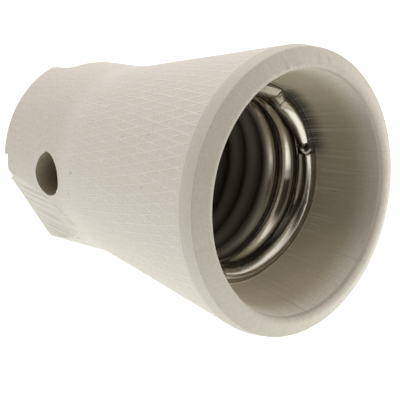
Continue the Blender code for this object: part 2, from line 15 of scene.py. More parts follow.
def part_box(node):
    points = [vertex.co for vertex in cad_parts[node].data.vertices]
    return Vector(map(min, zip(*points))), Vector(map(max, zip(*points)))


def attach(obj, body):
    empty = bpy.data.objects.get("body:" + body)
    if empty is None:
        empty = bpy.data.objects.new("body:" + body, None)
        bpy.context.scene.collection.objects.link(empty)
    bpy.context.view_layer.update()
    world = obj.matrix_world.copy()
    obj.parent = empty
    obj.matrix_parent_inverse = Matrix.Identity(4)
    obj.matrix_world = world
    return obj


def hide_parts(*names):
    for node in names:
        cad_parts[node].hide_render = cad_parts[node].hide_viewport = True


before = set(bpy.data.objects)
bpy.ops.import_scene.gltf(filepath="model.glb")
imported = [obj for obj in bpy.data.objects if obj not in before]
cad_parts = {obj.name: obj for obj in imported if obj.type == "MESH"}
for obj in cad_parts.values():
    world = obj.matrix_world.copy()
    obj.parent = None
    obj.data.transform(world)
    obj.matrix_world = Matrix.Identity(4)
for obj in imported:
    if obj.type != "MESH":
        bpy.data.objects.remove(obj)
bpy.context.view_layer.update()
MM = 0.001

# Porcelain body
BODY_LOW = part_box("porcelain_body")[0]
LIP_FRONT_STATION = -BODY_LOW.y
LIP_STATION = LIP_FRONT_STATION - 1.1 * MM
LIP_RADIUS = 20.3 * MM
MOUTH_RADIUS = 17.4 * MM
NECK_RADIUS = 14.7 * MM
NECK_LENGTH = 15.3 * MM
NECK_BEND = 3.0 * MM
SKIRT_STATION = 47.0 * MM
SKIRT_FLARE = 0.183
LEDGE_STATION = 38.6 * MM
LEDGE_RADIUS = 14.75 * MM
# In front of the ledge and outward from its radius, in millimetres
LEDGE_CHAMFER = ((0.62, 0.22), (0.52, 0.16), (0.5, 0.02), (0.1, 0.0))
SHELL_BORE_RADIUS = 13.9 * MM
SHELL_BORE_STATION = 19.0 * MM
BLOCK_BORE_RADIUS = 11.3 * MM
BLOCK_SEAT_STATION = 13.8 * MM
CAVITY_RADIUS = 9.8 * MM
REAR_WALL = 3.0 * MM
ENTRY_RADIUS = 4.6 * MM
CROSS_HOLE_STATION = 11.0 * MM
CROSS_HOLE_HALF_LENGTH = 2.65 * MM
CROSS_HOLE_HALF_HEIGHT = 3.15 * MM
GROOVE_WIDTH = 4.0 * MM
GROOVE_DEPTH = 1.2 * MM
# Flats on the neck: the floor as (station, distance from the axis) in millimetres, by bearing
FLATS = {
    -31.5: ((0.0, 12.5), (13.5, 14.7), (20.0, 15.76)),
    102.0: ((0.0, 13.05), (3.2, 13.1), (4.2, 13.4), (5.4, 14.7), (20.0, 30.0)),
}
EAR_THICKNESS = 3.4 * MM
EAR_HALF_WIDTH = 2.6 * MM
EAR_ROOT_RADIUS = CAVITY_RADIUS + 1.0 * MM

# Threaded shell
SHELL_LOW, SHELL_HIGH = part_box("screw_shell")
SHELL_FLOOR_STATION = -SHELL_HIGH.y
RIM_FRONT_STATION = -SHELL_LOW.y
RIM_OUTER_RADIUS = SHELL_HIGH.z
THREAD_PITCH = 25.4 / 7 * MM
THREAD_MEAN_RADIUS = 12.67 * MM
THREAD_DEPTH = 0.5 * MM
THREAD_PHASE = math.radians(200)
THREAD_END_STATION = 36.9 * MM
COLLAR_RADIUS = 12.75 * MM
SHEET = 0.36 * MM
TONGUE_BEARINGS = (118.5, 171.5)
TONGUE_SLIT_STATION = 37.5 * MM
ROOT_LIFT = 0.6 * MM
ROOT_LIFT_SPAN = 13.0
LAP_BEARING = -71.0
LAP_SPAN = 28.0
LAP_STEP = 0.16 * MM
RIM_WAVE = 0.03 * MM
# Where the thread runs on and the rim's shoulder is tighter, just past the tongue's hook
TIGHT_BEARINGS = (150.0, 165.0, 195.0, 222.0)
TIGHT_REACH = 1.5 * MM
# Where the rim lies further back, up to the lap
BACK_BEARINGS = (205.0, 250.0, 289.0, 318.0)
BACK_REACH = 1.1 * MM
# The porcelain moves back with the rim past the first station, and less from the second to the third
BACK_LIMITS = (36.5 * MM, 40.0 * MM, 42.0 * MM)
# The tongue's inner radius, shoulder and outer edge in millimetres, by share of its length from root to tip
TONGUE_BENDS = ((0.0, 12.55), (0.05, 12.42), (0.12, 12.12), (0.2, 11.96), (0.4, 12.0), (0.6, 12.1),
                (0.75, 12.25), (0.86, 12.52))
TONGUE_SHOULDERS = ((0.0, 0.95), (0.16, 1.5), (0.60, 1.5), (0.75, 1.1), (0.86, 0.6), (0.90, 0.45))
TONGUE_EDGES = ((0.0, 14.35), (0.15, 14.2), (0.56, 14.2), (0.65, 14.0), (0.77, 13.55), (0.86, 13.0))
HOOK_TURN = 104.0
HOOK_BEND = 0.5 * MM
HOOK_RUN = 0.72 * MM
TAB_HALF_WIDTH = 2.8 * MM
TAB_THICKNESS = 0.5 * MM

# What stands on the circle of screws
BOLT_CIRCLE_RADIUS = 6.6 * MM
SHELL_SCREW_BEARINGS = (0.0, 180.0)
BLOCK_SCREW_BEARINGS = (120.0, 300.0)
CONTACT_BEARING = 60.0
NEUTRAL_WIRE_BEARING = 240.0
SHANK_RADIUS = 1.5 * MM
HOLE_RADIUS = 1.8 * MM
HEAD_HEIGHT = 1.9 * MM
SCREW_PITCH = 0.5 * MM
SCREW_THREAD_DEPTH = 0.14 * MM
SCREW_SLOT_HALF_WIDTH = 0.45 * MM
SCREW_SLOT_DEPTH = 0.9 * MM
SCREW_COLUMNS = 32
NUT_ACROSS_FLATS = 5.5 * MM
NUT_COLUMNS = 96
STRIP_THICKNESS = 0.5 * MM
TERMINAL_HALF_WIDTH = 2.3 * MM

# Camera: the frame's -X and mouth face it
CAMERA_RIGHT = Vector((0.7227, -0.6900, -0.0429))
CAMERA_BACK = Vector((-0.6610, -0.7083, 0.2475))
CAMERA_DISTANCE = 193.8 * MM
CAMERA_OFFSET = (-13.7 * MM, -0.91 * MM)
CAMERA_LENS = 126.0
SENSOR_WIDTH = 36.0

# Studio: the tent's colours, where it opens, and how the floor's glow fades towards the opening
TENT_WHITE, TENT_DARK = (1.0, 0.965, 0.94), (0.04, 0.034, 0.027)
TENT_OPENING = Vector((-0.74, -0.665, -0.05)).normalized()
OPENING_EDGE = (0.53, 0.82)
FLOOR_REACH = 4.0
FLOOR_GLOW = (0.96, 1.0, 0.965, 1.0)
FLOOR_GLOW_STRENGTH = (1.01, 0.12)
FLOOR_FADE = (70.0 * MM, 140.0 * MM)
KEY_PLACE, KEY_TARGET = Vector((0.10, 0.12, 0.42)), Vector((0.0, -0.025, 0.0))
KEY_SIZE, KEY_POWER = 0.30, 0.50

# How finely the meshes are divided
BODY_COLUMNS = 384
SHELL_COLUMNS = 288
SHELL_LEVELS = 90
BLOCK_COLUMNS = 144
BUSH_COLUMNS = 96
CIRCLE_STEPS = 36
AXIS = Vector((0.0, 0.0, 0.0))


# Studio ----------------------------------------------------------------------


def make_camera():
    back = CAMERA_BACK.normalized()
    right = (CAMERA_RIGHT - back * CAMERA_RIGHT.dot(back)).normalized()
    up = back.cross(right)
    lip_centre = Vector((0.0, -LIP_STATION, 0.0))
    data = bpy.data.cameras.new("camera")
    data.lens = CAMERA_LENS
    data.sensor_width = SENSOR_WIDTH
    data.clip_start, data.clip_end = 0.005, 20.0
    camera = bpy.data.objects.new("camera", data)
    bpy.context.scene.collection.objects.link(camera)
    rotation = Matrix((right, up, back)).transposed()
    place = lip_centre + right * CAMERA_OFFSET[0] + up * CAMERA_OFFSET[1] + back * CAMERA_DISTANCE
    camera.matrix_world = Matrix.Translation(place) @ rotation.to_4x4()
    bpy.context.scene.camera = camera


class Nodes:
    """Short forms for building one node tree."""

    def __init__(self, tree):
        self.tree = tree

    def new(self, kind, **settings):
        node = self.tree.nodes.new(kind)
        for key, value in settings.items():
            setattr(node, key, value)
        return node

    def link(self, source, socket):
        if isinstance(source, (int, float, tuple)):
            socket.default_value = source
        else:
            self.tree.links.new(source, socket)

    def math(self, operation, first, second=0.0, third=0.0):
        node = self.new("ShaderNodeMath", operation=operation)
        for source, socket in zip((first, second, third), node.inputs):
            self.link(source, socket)
        return node.outputs[0]

    def ramp(self, value, low, high, to_low=0.0, to_high=1.0):
        """A smooth step between low and high."""
        node = self.new("ShaderNodeMapRange", interpolation_type="SMOOTHSTEP")
        for source, name in ((value, "Value"), (low, "From Min"), (high, "From Max"),
                             (to_low, "To Min"), (to_high, "To Max")):
            self.link(source, node.inputs[name])
        return node.outputs["Result"]

    def mix(self, factor, first, second):
        """Two colours mixed."""
        node = self.new("ShaderNodeMix", data_type="RGBA")
        self.link(factor, node.inputs["Factor"])
        for source, socket in ((first, node.inputs[6]), (second, node.inputs[7])):
            self.link((*source, 1.0) if isinstance(source, tuple) else source, socket)
        return node.outputs[2]

    def times(self, first, *others):
        for other in others:
            first = self.math("MULTIPLY", first, other)
        return first

    def dot(self, vector, direction):
        node = self.new("ShaderNodeVectorMath", operation="DOT_PRODUCT")
        self.link(vector, node.inputs[0])
        node.inputs[1].default_value = direction
        return node.outputs["Value"]

    def tint(self, colour, tint):
        node = self.new("ShaderNodeMix", data_type="RGBA", blend_type="MULTIPLY")
        node.inputs["Factor"].default_value = 1.0
        self.link(colour, node.inputs[6])
        self.link((*tint, 1.0), node.inputs[7])
        return node.outputs[2]

    def noise(self, vector, scale, detail=2.0, roughness=0.5):
        node = self.new("ShaderNodeTexNoise")
        self.link(vector, node.inputs["Vector"])
        node.inputs["Scale"].default_value = scale
        node.inputs["Detail"].default_value = detail
        node.inputs["Roughness"].default_value = roughness
        return node.outputs["Fac"]

    def vector(self, x, y, z):
        node = self.new("ShaderNodeCombineXYZ")
        for source, socket in zip((x, y, z), node.inputs):
            self.link(source, socket)
        return node.outputs[0]


def make_world():
    """A light tent: white all round, dark where it opens in front of the mouth."""
    world = bpy.data.worlds.new("tent")
    world.use_nodes = True
    bpy.context.scene.world = world
    n = Nodes(world.node_tree)
    background = n.tree.nodes["Background"]
    direction = n.new("ShaderNodeTexCoord").outputs["Generated"]
    opening = n.ramp(n.dot(direction, TENT_OPENING), *OPENING_EDGE)
    n.link(n.mix(opening, TENT_WHITE, TENT_DARK), background.inputs["Color"])
    background.inputs["Strength"].default_value = 1.0


def make_key_light():
    """A soft box above and behind, for the top of the skirt."""
    data = bpy.data.lights.new("key", "AREA")
    data.shape = "RECTANGLE"
    data.size = data.size_y = KEY_SIZE
    data.energy = KEY_POWER
    light = bpy.data.objects.new("key", data)
    bpy.context.scene.collection.objects.link(light)
    light.location = KEY_PLACE
    light.rotation_euler = (KEY_TARGET - KEY_PLACE).to_track_quat("-Z", "Y").to_euler()


def make_floor():
    """A pale, softly glowing table top just under the lip."""
    mesh = bpy.data.meshes.new("floor")
    square = ((-1, -1), (1, -1), (1, 1), (-1, 1))
    corners = [(x * FLOOR_REACH, y * FLOOR_REACH, BODY_LOW.z) for x, y in square]
    mesh.from_pydata(corners, [], [(0, 1, 2, 3)])
    floor = bpy.data.objects.new("floor", mesh)
    bpy.context.scene.collection.objects.link(floor)
    material, n, shader, coordinates = new_material("floor", 1.0)
    shader.inputs["Base Color"].default_value = (0.3, 0.3, 0.3, 1.0)
    shader.inputs["Specular IOR Level"].default_value = 0.0
    shader.inputs["Emission Color"].default_value = FLOOR_GLOW
    glow = n.ramp(n.dot(coordinates, TENT_OPENING), *FLOOR_FADE, *FLOOR_GLOW_STRENGTH)
    n.link(glow, shader.inputs["Emission Strength"])
    mesh.materials.append(material)


# Materials -------------------------------------------------------------------

# Porcelain's colours and tints, as linear red, green and blue
CLAY, PALE_CLAY, CLAY_GRAIN = (0.600, 0.548, 0.482), (0.640, 0.598, 0.540), (0.675, 0.638, 0.582)
SPECK, STREAK, FLAT_STREAK = (0.22, 0.19, 0.16), (0.40, 0.36, 0.31), (0.26, 0.25, 0.22)
PALE_LINE, PALE_FLECK, PALE_CREST = (0.86, 0.84, 0.79), (0.86, 0.84, 0.78), (0.84, 0.80, 0.76)
BAND_TINT, BAND_LINE, PALE_RIM_LINE = (0.91, 0.91, 0.90), (0.30, 0.26, 0.21), (0.84, 0.82, 0.77)
CRUMB, SCRATCH, LONG_LINE = (0.80, 0.78, 0.72), (0.80, 0.76, 0.68), (0.22, 0.19, 0.15)
# The second of these paints shade deeper in the mouth; the first makes the lip and the inside a little
# greener
GREENER_TINT, DEPTH_SHADE = (0.97, 0.965, 0.925), (0.66, 0.62, 0.52)
# Painted shade and light on the lip: darker towards -X, lighter towards +X
LIP_LIGHT_AND_SHADE = ((0.90, 0.90, 0.89), (1.10, 1.10, 1.10))
# Painted shade and light inside the mouth: darker on the walls towards -X and +X, lighter at the top and
# bottom
INSIDE_LIGHT_AND_SHADE = ((0.84, 0.84, 0.84), (1.30, 1.31, 1.34))
# Painted shade in the cross hole and cavity, and a painted shadow beside the tongue
HOLE_SHADE, TONGUE_SHADOW = (0.20, 0.15, 0.11), (0.05, 0.044, 0.034)
LONG_LINE_STRENGTH = {"lip": 0.12, "inside": 0.30}

# Raised lines round the skirt. Each family: first bearing in degrees, and drift in degrees per metre
LINE_COUNT = 82
LINE_STATION = 36.0 * MM
LINE_FAMILIES = ((2.05, -530.0), (0.84, 620.0))

# The shell's colours, with painted shade, a painted reflection and a painted highlight among them, and where
# its hook, its tongue's root and its flange lie
NICKEL, BRIGHT_NICKEL, NICKEL_SPECK = (0.66, 0.62, 0.54), (0.74, 0.71, 0.63), (0.25, 0.20, 0.16)
GROOVE_SHADE, HOOK_SHADE, DEEP_THREAD_DARK = (0.13, 0.11, 0.085), (0.12, 0.10, 0.075), (0.125, 0.106, 0.078)
FLANGE_REFLECTION, BARE_EDGE_HIGHLIGHT = (0.30, 0.25, 0.19), (0.90, 0.86, 0.77)
HOOK_TURNS = (164.5 / 360.0, 166.5 / 360.0, 171.4 / 360.0)
ROOT_TURNS = (126.0 / 360.0, 141.0 / 360.0)
RIM_FLANGE_RADIUS = 13.36 * MM
TONGUE_FLANGE_RADIUS, TONGUE_ROOT_FLANGE_RADIUS = 13.15 * MM, 12.4 * MM
LAP_SHIFT = 0.5 * MM


def new_material(name, roughness, metallic=0.0):
    """An empty material's node helper, its shader and its surface coordinates."""
    material = bpy.data.materials.new(name)
    material.use_nodes = True
    n = Nodes(material.node_tree)
    shader = n.tree.nodes["Principled BSDF"]
    shader.inputs["Roughness"].default_value = roughness
    shader.inputs["Metallic"].default_value = metallic
    coordinates = n.new("ShaderNodeTexCoord").outputs["Object"]
    return material, n, shader, coordinates


def polar(n, coordinates):
    """Bearing in turns, station and radius of a surface point."""
    split = n.new("ShaderNodeSeparateXYZ")
    n.link(coordinates, split.inputs[0])
    x, y, z = split.outputs
    turns = n.math("DIVIDE", n.math("ARCTAN2", z, n.math("MULTIPLY", x, -1.0)), math.tau)
    radius = n.math("SQRT", n.math("ADD", n.math("MULTIPLY", x, x), n.math("MULTIPLY", z, z)))
    return turns, n.math("MULTIPLY", y, -1.0), radius


def bump(n, shader, height, distance):
    node = n.new("ShaderNodeBump")
    n.link(height, node.inputs["Height"])
    node.inputs["Distance"].default_value = distance
    n.link(node.outputs[0], shader.inputs["Normal"])


def raised_lines(n, turns, station, waver):
    """Two crossing families of fine raised lines round the skirt, 0 to 1."""
    both = None
    for first, drift in LINE_FAMILIES:
        bearing = n.math("MULTIPLY_ADD", turns, 360.0, -first)
        along = n.times(n.math("SUBTRACT", station, LINE_STATION), -drift)
        phase = n.math("DIVIDE", n.math("ADD", n.math("ADD", bearing, along), waver), 360.0 / LINE_COUNT)
        away = n.math("PINGPONG", phase, 0.5)
        line = n.ramp(away, 0.035, 0.11, 1.0, 0.0)
        both = line if both is None else n.math("MAXIMUM", both, line)
    return both


def flat_streaks(n, coordinates, station):
    """Dark fine streaks along the slanting flat, as a mixing factor."""
    bearing, floor = next(iter(FLATS.items()))
    slope = (floor[1][1] - floor[0][1]) / floor[1][0]
    level = n.math("MULTIPLY_ADD", station, slope, floor[0][1] * MM)
    outward = n.dot(coordinates, on_axis_circle(bearing, 1.0))
    across = n.dot(coordinates, on_axis_circle(bearing + 90.0, 1.0))
    on_flat = n.ramp(n.math("SUBTRACT", level, outward), 0.03 * MM, 0.16 * MM, 1.0, 0.0)
    fine = n.vector(n.times(across, 4200.0), n.times(station, 90.0), 7.0)
    streaks = n.ramp(n.noise(fine, 1.0, 2.0), 0.42, 0.66, 0.0, 0.55)
    return n.times(on_flat, n.ramp(station, 19.0 * MM, 14.0 * MM), streaks)


def outside_marks(n, coordinates, place, colour, height):
    """Raised lines and streaks along the skirt, pale flecks on the neck, lines at the band and the lip."""
    turns, station, _ = place
    patches = n.noise(coordinates, 260.0, 2.0)
    waver = n.times(n.math("SUBTRACT", n.noise(coordinates, 320.0), 0.5), 1.1)
    begin = n.ramp(station, 13.5 * MM, 22.0 * MM, 0.25, 1.0)
    end = n.ramp(station, 46.0 * MM, 46.7 * MM, 1.0, 0.0)
    strength = n.times(begin, end, n.ramp(patches, 0.3, 0.6, 0.55, 1.0))
    lines = n.times(raised_lines(n, turns, station, waver), strength)
    streaks = n.noise(n.vector(n.times(turns, 420.0), n.times(station, 260.0), 0.0), 1.0, 2.0)
    streaks = n.times(streaks, n.ramp(station, 12.0 * MM, 26.0 * MM, 1.0, 0.25))
    height = n.math("ADD", height, n.times(streaks, 1.5))
    height = n.math("ADD", height, n.times(lines, 1.8))
    flecks = n.ramp(n.noise(coordinates, 3400.0, 1.0), 0.69, 0.75, 0.0, 0.5)
    flecks = n.times(flecks, n.ramp(patches, 0.5, 0.62), n.ramp(station, 14.0 * MM, 8.0 * MM))
    crest = n.times(n.ramp(station, 11.5 * MM, 15.0 * MM), n.ramp(station, 15.0 * MM, 19.5 * MM, 1.0, 0.0))
    crest = n.times(crest, n.ramp(patches, 0.35, 0.6, 0.02, 0.17))
    colour = n.mix(n.ramp(streaks, 0.5, 0.8, 0.0, 0.16), colour, STREAK)
    colour = n.mix(n.times(lines, 0.34), colour, PALE_LINE)
    colour = n.mix(flecks, colour, PALE_FLECK)
    colour = n.mix(crest, colour, PALE_CREST)
    colour = n.mix(n.ramp(station, 46.7 * MM, 46.9 * MM), colour, n.tint(colour, BAND_TINT))
    edge_line = n.math("COMPARE", station, 46.75 * MM, 0.10 * MM)
    colour = n.mix(n.times(edge_line, 0.28), colour, BAND_LINE)
    rim_line = n.math("COMPARE", station, 48.75 * MM, 0.09 * MM)
    colour = n.mix(n.times(rim_line, 0.35), colour, PALE_RIM_LINE)
    return n.mix(flat_streaks(n, coordinates, station), colour, FLAT_STREAK), height


def sheltered_colour(n, coordinates, place, colour, part):
    """The lip and the inside: a little greener, with painted light and shade by side, painted shade deeper
    towards the shell and in the cross hole, and a painted shadow beside the tongue.
    """
    turns, station, radius = place
    angle = n.times(turns, math.tau)
    # A little greener all over the lip and the inside
    colour = n.tint(colour, GREENER_TINT)
    if part == "lip":
        crumbs = n.ramp(n.noise(coordinates, 2900.0, 2.0), 0.60, 0.68, 0.0, 0.75)
        near_top = n.times(n.ramp(turns, 0.185, 0.215), n.ramp(turns, 0.325, 0.285))
        near_edge = n.ramp(radius, 18.9 * MM, 18.2 * MM)
        colour = n.mix(n.times(crumbs, near_top, near_edge), colour, CRUMB)
        # Painted light and shade: the lip is darker on its -X side and lighter on its +X side
        sideways = n.times(radius, n.math("COSINE", angle))
        factor, tints = n.ramp(sideways, 18.0 * MM, -19.0 * MM), LIP_LIGHT_AND_SHADE
    else:
        # Painted light and shade: the inside is darker at its sides and lighter at its top and bottom
        upward = n.math("ABSOLUTE", n.times(radius, n.math("SINE", angle)))
        factor, tints = n.ramp(upward, 6.0 * MM, 15.5 * MM), INSIDE_LIGHT_AND_SHADE
    colour = n.mix(factor, *(n.tint(colour, tint) for tint in tints))
    # Painted shade, darker deeper in the mouth towards the shell
    colour = n.mix(n.ramp(station, 49.6 * MM, 44.5 * MM), colour, n.tint(colour, DEPTH_SHADE))
    # Painted shade in the cross hole and the cavity behind the shell
    hole_shade = n.times(n.ramp(station, 22.0 * MM, 18.0 * MM), n.ramp(radius, 14.6 * MM, 11.5 * MM), 0.38)
    colour = n.mix(hole_shade, colour, HOLE_SHADE)
    # Painted shadow of the tongue on the porcelain beside it
    tongue_shadow = n.times(n.ramp(turns, 0.325, 0.36), n.ramp(turns, 0.495, 0.465))
    tongue_shadow = n.times(tongue_shadow, n.ramp(station, 41.6 * MM, 38.9 * MM), 0.92)
    return n.mix(tongue_shadow, colour, TONGUE_SHADOW)


def inside_marks(n, place, colour, height, darkest):
    """Fine scratches from the lip to the shell, and longer dark lines of the given strength."""
    turns, station, radius = place
    fine = n.vector(n.times(turns, 520.0), n.times(radius, 150.0), n.times(station, 90.0))
    scratches = n.ramp(n.noise(fine, 1.0, 2.0), 0.48, 0.72)
    height = n.math("ADD", height, n.times(scratches, 0.7))
    past_neck = n.ramp(station, 24.0 * MM, 32.0 * MM)
    near_shell = n.ramp(station, 44.5 * MM, 40.5 * MM, 0.35, 1.0)
    colour = n.mix(n.times(scratches, near_shell, past_neck, 0.22), colour, SCRATCH)
    along = n.vector(n.times(turns, 150.0), n.times(station, 25.0), 4.0)
    long_lines = n.ramp(n.noise(along, 1.0, 3.0), 0.52, 0.80, 0.0, darkest)
    return n.mix(n.times(long_lines, past_neck), colour, LONG_LINE), height


def porcelain(name, part):
    """Unglazed porcelain. The outside has crossing raised lines, the lip and inside fine scratches."""
    material, n, shader, coordinates = new_material(name, 0.62)
    place = polar(n, coordinates)
    clouds = n.noise(coordinates, 90.0, 3.0)
    grain = n.noise(coordinates, 2600.0, 3.0, 0.6)
    specks = n.ramp(n.noise(coordinates, 900.0, 1.0), 0.765, 0.80, 0.0, 0.55)
    colour = n.mix(clouds, CLAY, PALE_CLAY)
    colour = n.mix(n.ramp(grain, 0.35, 0.75), colour, CLAY_GRAIN)
    # The lip and the inside take painted light and shade
    if part != "outside":
        colour = sheltered_colour(n, coordinates, place, colour, part)
    colour = n.mix(specks, colour, SPECK)
    height = n.times(grain, 0.35)
    if part == "outside":
        colour, height = outside_marks(n, coordinates, place, colour, height)
    else:
        colour, height = inside_marks(n, place, colour, height, LONG_LINE_STRENGTH[part])
    n.link(colour, shader.inputs["Base Color"])
    n.link(n.ramp(clouds, 0.2, 0.8, 0.55, 0.68), shader.inputs["Roughness"])
    shader.inputs["Specular IOR Level"].default_value = 0.35
    bump(n, shader, height, 0.03 * MM)
    return material


def thread_shade(n, turns, station, colour):
    """Painted shade and dark reflection in the thread's grooves, and painted shade where the thread runs on
    past the tongue's hook.
    """
    phase = n.math("MULTIPLY_ADD", station, 1.0 / THREAD_PITCH, THREAD_PHASE / math.tau)
    from_groove = n.math("PINGPONG", n.math("ADD", phase, turns), 0.5)
    # Painted shade and dark reflection in the grooves
    groove_shade = n.times(n.ramp(from_groove, 0.12, 0.28, 0.72, 0.0), n.ramp(station, 37.3 * MM, 36.3 * MM))
    colour = n.mix(groove_shade, colour, GROOVE_SHADE)
    # Painted shade in the dark gap where the thread runs on past the tongue's hook
    hook_shade = n.times(n.ramp(station, 36.6 * MM, 37.2 * MM), n.ramp(station, 39.1 * MM, 38.8 * MM))
    hook_shade = n.times(hook_shade, n.ramp(n.math("ABSOLUTE", turns), 0.385, 0.42))
    hook_shade = n.times(hook_shade, n.ramp(from_groove, 0.44, 0.48, 0.8, 0.1))
    return n.mix(hook_shade, colour, HOOK_SHADE)


def on_flange(n, place, flange_radius, root_radius):
    """The rim's flat flange, as a factor for its painted brown reflection. It starts nearer the axis at the
    tongue's root.
    """
    turns, station, radius = place
    lap_start, lap_end = (LAP_BEARING - LAP_SPAN) / 360.0, LAP_BEARING / 360.0
    lapped = n.times(n.ramp(turns, lap_start, lap_end), n.math("LESS_THAN", turns, lap_end), LAP_SHIFT)
    start = n.ramp(turns, *ROOT_TURNS, root_radius, flange_radius)
    beyond = n.math("SUBTRACT", n.math("SUBTRACT", radius, lapped), start)
    return n.times(n.ramp(beyond, -0.12 * MM, 0.12 * MM), n.ramp(station, 37.2 * MM, 37.8 * MM, 0.0, 0.85))


def nickel(name, flange_radius, root_radius):
    """Bright nickel plate on pressed sheet: darker deep in the thread, painted shade in the grooves, and a
    painted brown reflection on the flange's flat face.
    """
    material, n, shader, coordinates = new_material(name, 0.16, 1.0)
    place = turns, station, radius = polar(n, coordinates)
    smudge = n.noise(coordinates, 500.0, 3.0)
    drawn = n.vector(n.times(turns, 60.0), n.times(station, 9000.0), n.times(radius, 9000.0))
    drawn = n.noise(drawn, 1.0, 2.0)
    specks = n.ramp(n.noise(coordinates, 2400.0, 1.0), 0.74, 0.80, 0.0, 0.5)
    colour = n.mix(smudge, NICKEL, BRIGHT_NICKEL)
    colour = n.mix(specks, colour, NICKEL_SPECK)
    # Painted shade in the thread's grooves and beside the hook
    colour = thread_shade(n, turns, station, colour)
    # Darker and less metallic deep in the thread
    deep_dark = n.ramp(station, 32.0 * MM, 30.4 * MM)
    colour = n.mix(n.times(deep_dark, 0.93), colour, DEEP_THREAD_DARK)
    hook_start, hook_full, hook_end = HOOK_TURNS
    hook = n.times(n.ramp(turns, hook_start, hook_full), n.math("LESS_THAN", turns, hook_end))
    # Painted brown reflection on the flange's flat face
    flange = n.times(on_flange(n, place, flange_radius, root_radius), n.math("SUBTRACT", 1.0, hook))
    colour = n.mix(flange, colour, FLANGE_REFLECTION)
    # The hook's front edge is bare and rough where the sheet was cut, and made pale as a painted highlight
    bare_edge_highlight = n.times(hook, n.ramp(station, 38.80 * MM, 38.95 * MM))
    colour = n.mix(bare_edge_highlight, colour, BARE_EDGE_HIGHLIGHT)
    n.link(colour, shader.inputs["Base Color"])
    matt_share = n.math("ADD", deep_dark, bare_edge_highlight)
    n.link(n.math("MULTIPLY_ADD", matt_share, -0.6, 1.0), shader.inputs["Metallic"])
    worn = n.math("ADD", n.ramp(station, 36.6 * MM, 37.6 * MM, 0.0, 0.12), n.times(matt_share, 0.45))
    n.link(n.math("ADD", n.ramp(smudge, 0.3, 0.75, 0.08, 0.18), worn), shader.inputs["Roughness"])
    bump(n, shader, n.math("ADD", n.times(smudge, 0.6), n.times(drawn, 0.2)), 0.012 * MM)
    return material


def turned_metal(name, colour, roughness):
    """Machined or rolled metal with a little tarnish."""
    material, n, shader, coordinates = new_material(name, roughness, 1.0)
    tarnish = n.noise(coordinates, 700.0, 4.0)
    dark = tuple(0.72 * value for value in colour)
    n.link(n.mix(n.ramp(tarnish, 0.35, 0.75), colour, dark), shader.inputs["Base Color"])
    n.link(n.ramp(tarnish, 0.3, 0.8, roughness - 0.08, roughness + 0.12), shader.inputs["Roughness"])
    bump(n, shader, n.noise(coordinates, 5000.0, 2.0), 0.01 * MM)
    return material


def matt(name, colour, grain_scale, roughness):
    """Pressed ceramic or rubber: one colour with a fine grain."""
    material, n, shader, coordinates = new_material(name, roughness)
    grain = n.noise(coordinates, grain_scale, 3.0)
    pale = tuple(min(1.0, 1.18 * value) for value in colour)
    n.link(n.mix(grain, colour, pale), shader.inputs["Base Color"])
    n.link(n.ramp(grain, 0.2, 0.8, roughness - 0.08, roughness + 0.06), shader.inputs["Roughness"])
    bump(n, shader, grain, 0.02 * MM)
    return material


# Mesh helpers ----------------------------------------------------------------


def on_axis_circle(bearing, radius, station=0.0):
    angle = math.radians(bearing)
    return Vector((-radius * math.cos(angle), -station, radius * math.sin(angle)))


def link_object(name, mesh, sharp):
    mesh.shade_smooth()
    mesh.set_sharp_from_angle(angle=math.radians(sharp))
    item = bpy.data.objects.new(name, mesh)
    bpy.context.scene.collection.objects.link(item)
    return item


def ring_points(bearings, radii, stations):
    """Points at these bearings, with a radius and station for each, as an array."""
    angles = np.radians(bearings)
    return np.stack([-radii * np.cos(angles), -stations, radii * np.sin(angles)], axis=-1)


def ring_faces(rows, columns, closed_rows=True):
    """Quads of a grid whose rows run round the axis."""
    faces = []
    for row in range(rows if closed_rows else rows - 1):
        after = (row + 1) % rows
        for column in range(columns):
            beside = (column + 1) % columns
            faces.append((row * columns + column, after * columns + column,
                          after * columns + beside, row * columns + beside))
    return faces


def apply_modifiers(item):
    bpy.context.view_layer.update()
    evaluated = item.evaluated_get(bpy.context.evaluated_depsgraph_get())
    mesh = bpy.data.meshes.new_from_object(evaluated)
    item.modifiers.clear()
    item.data = mesh


def cut(item, tool, solver="EXACT"):
    """Cut a closed tool away, then remove the tool."""
    modifier = item.modifiers.new("cut", "BOOLEAN")
    modifier.operation, modifier.object, modifier.solver = "DIFFERENCE", tool, solver
    apply_modifiers(item)
    bpy.data.objects.remove(tool)


def soften(item, width):
    modifier = item.modifiers.new("soften", "BEVEL")
    modifier.width, modifier.segments, modifier.limit_method = width, 3, "ANGLE"
    modifier.angle_limit = math.radians(40)
    apply_modifiers(item)
    item.data.shade_smooth()
    item.data.set_sharp_from_angle(angle=math.radians(45))


def absorb(item, other, slot_index):
    """Move another object's mesh into this one."""
    bm = bmesh.new()
    bm.from_mesh(item.data)
    first = len(bm.faces)
    bm.from_mesh(other.data)
    bm.faces.ensure_lookup_table()
    for index in range(first, len(bm.faces)):
        bm.faces[index].material_index = slot_index
    bm.to_mesh(item.data)
    bm.free()
    bpy.data.objects.remove(other)


def declare(item, body, node):
    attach(item, body)
    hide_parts(node)
    return item


def closed_object(name, vertices, faces, material=None, sharp=40.0):
    """A closed mesh whose faces are turned outward."""
    bm = bmesh.new()
    verts = [bm.verts.new(point) for point in vertices]
    for face in faces:
        bm.faces.new([verts[i] for i in face])
    bmesh.ops.recalc_face_normals(bm, faces=bm.faces)
    mesh = bpy.data.meshes.new(name)
    bm.to_mesh(mesh)
    bm.free()
    if material is not None:
        mesh.materials.append(material)
    return link_object(name, mesh, sharp)


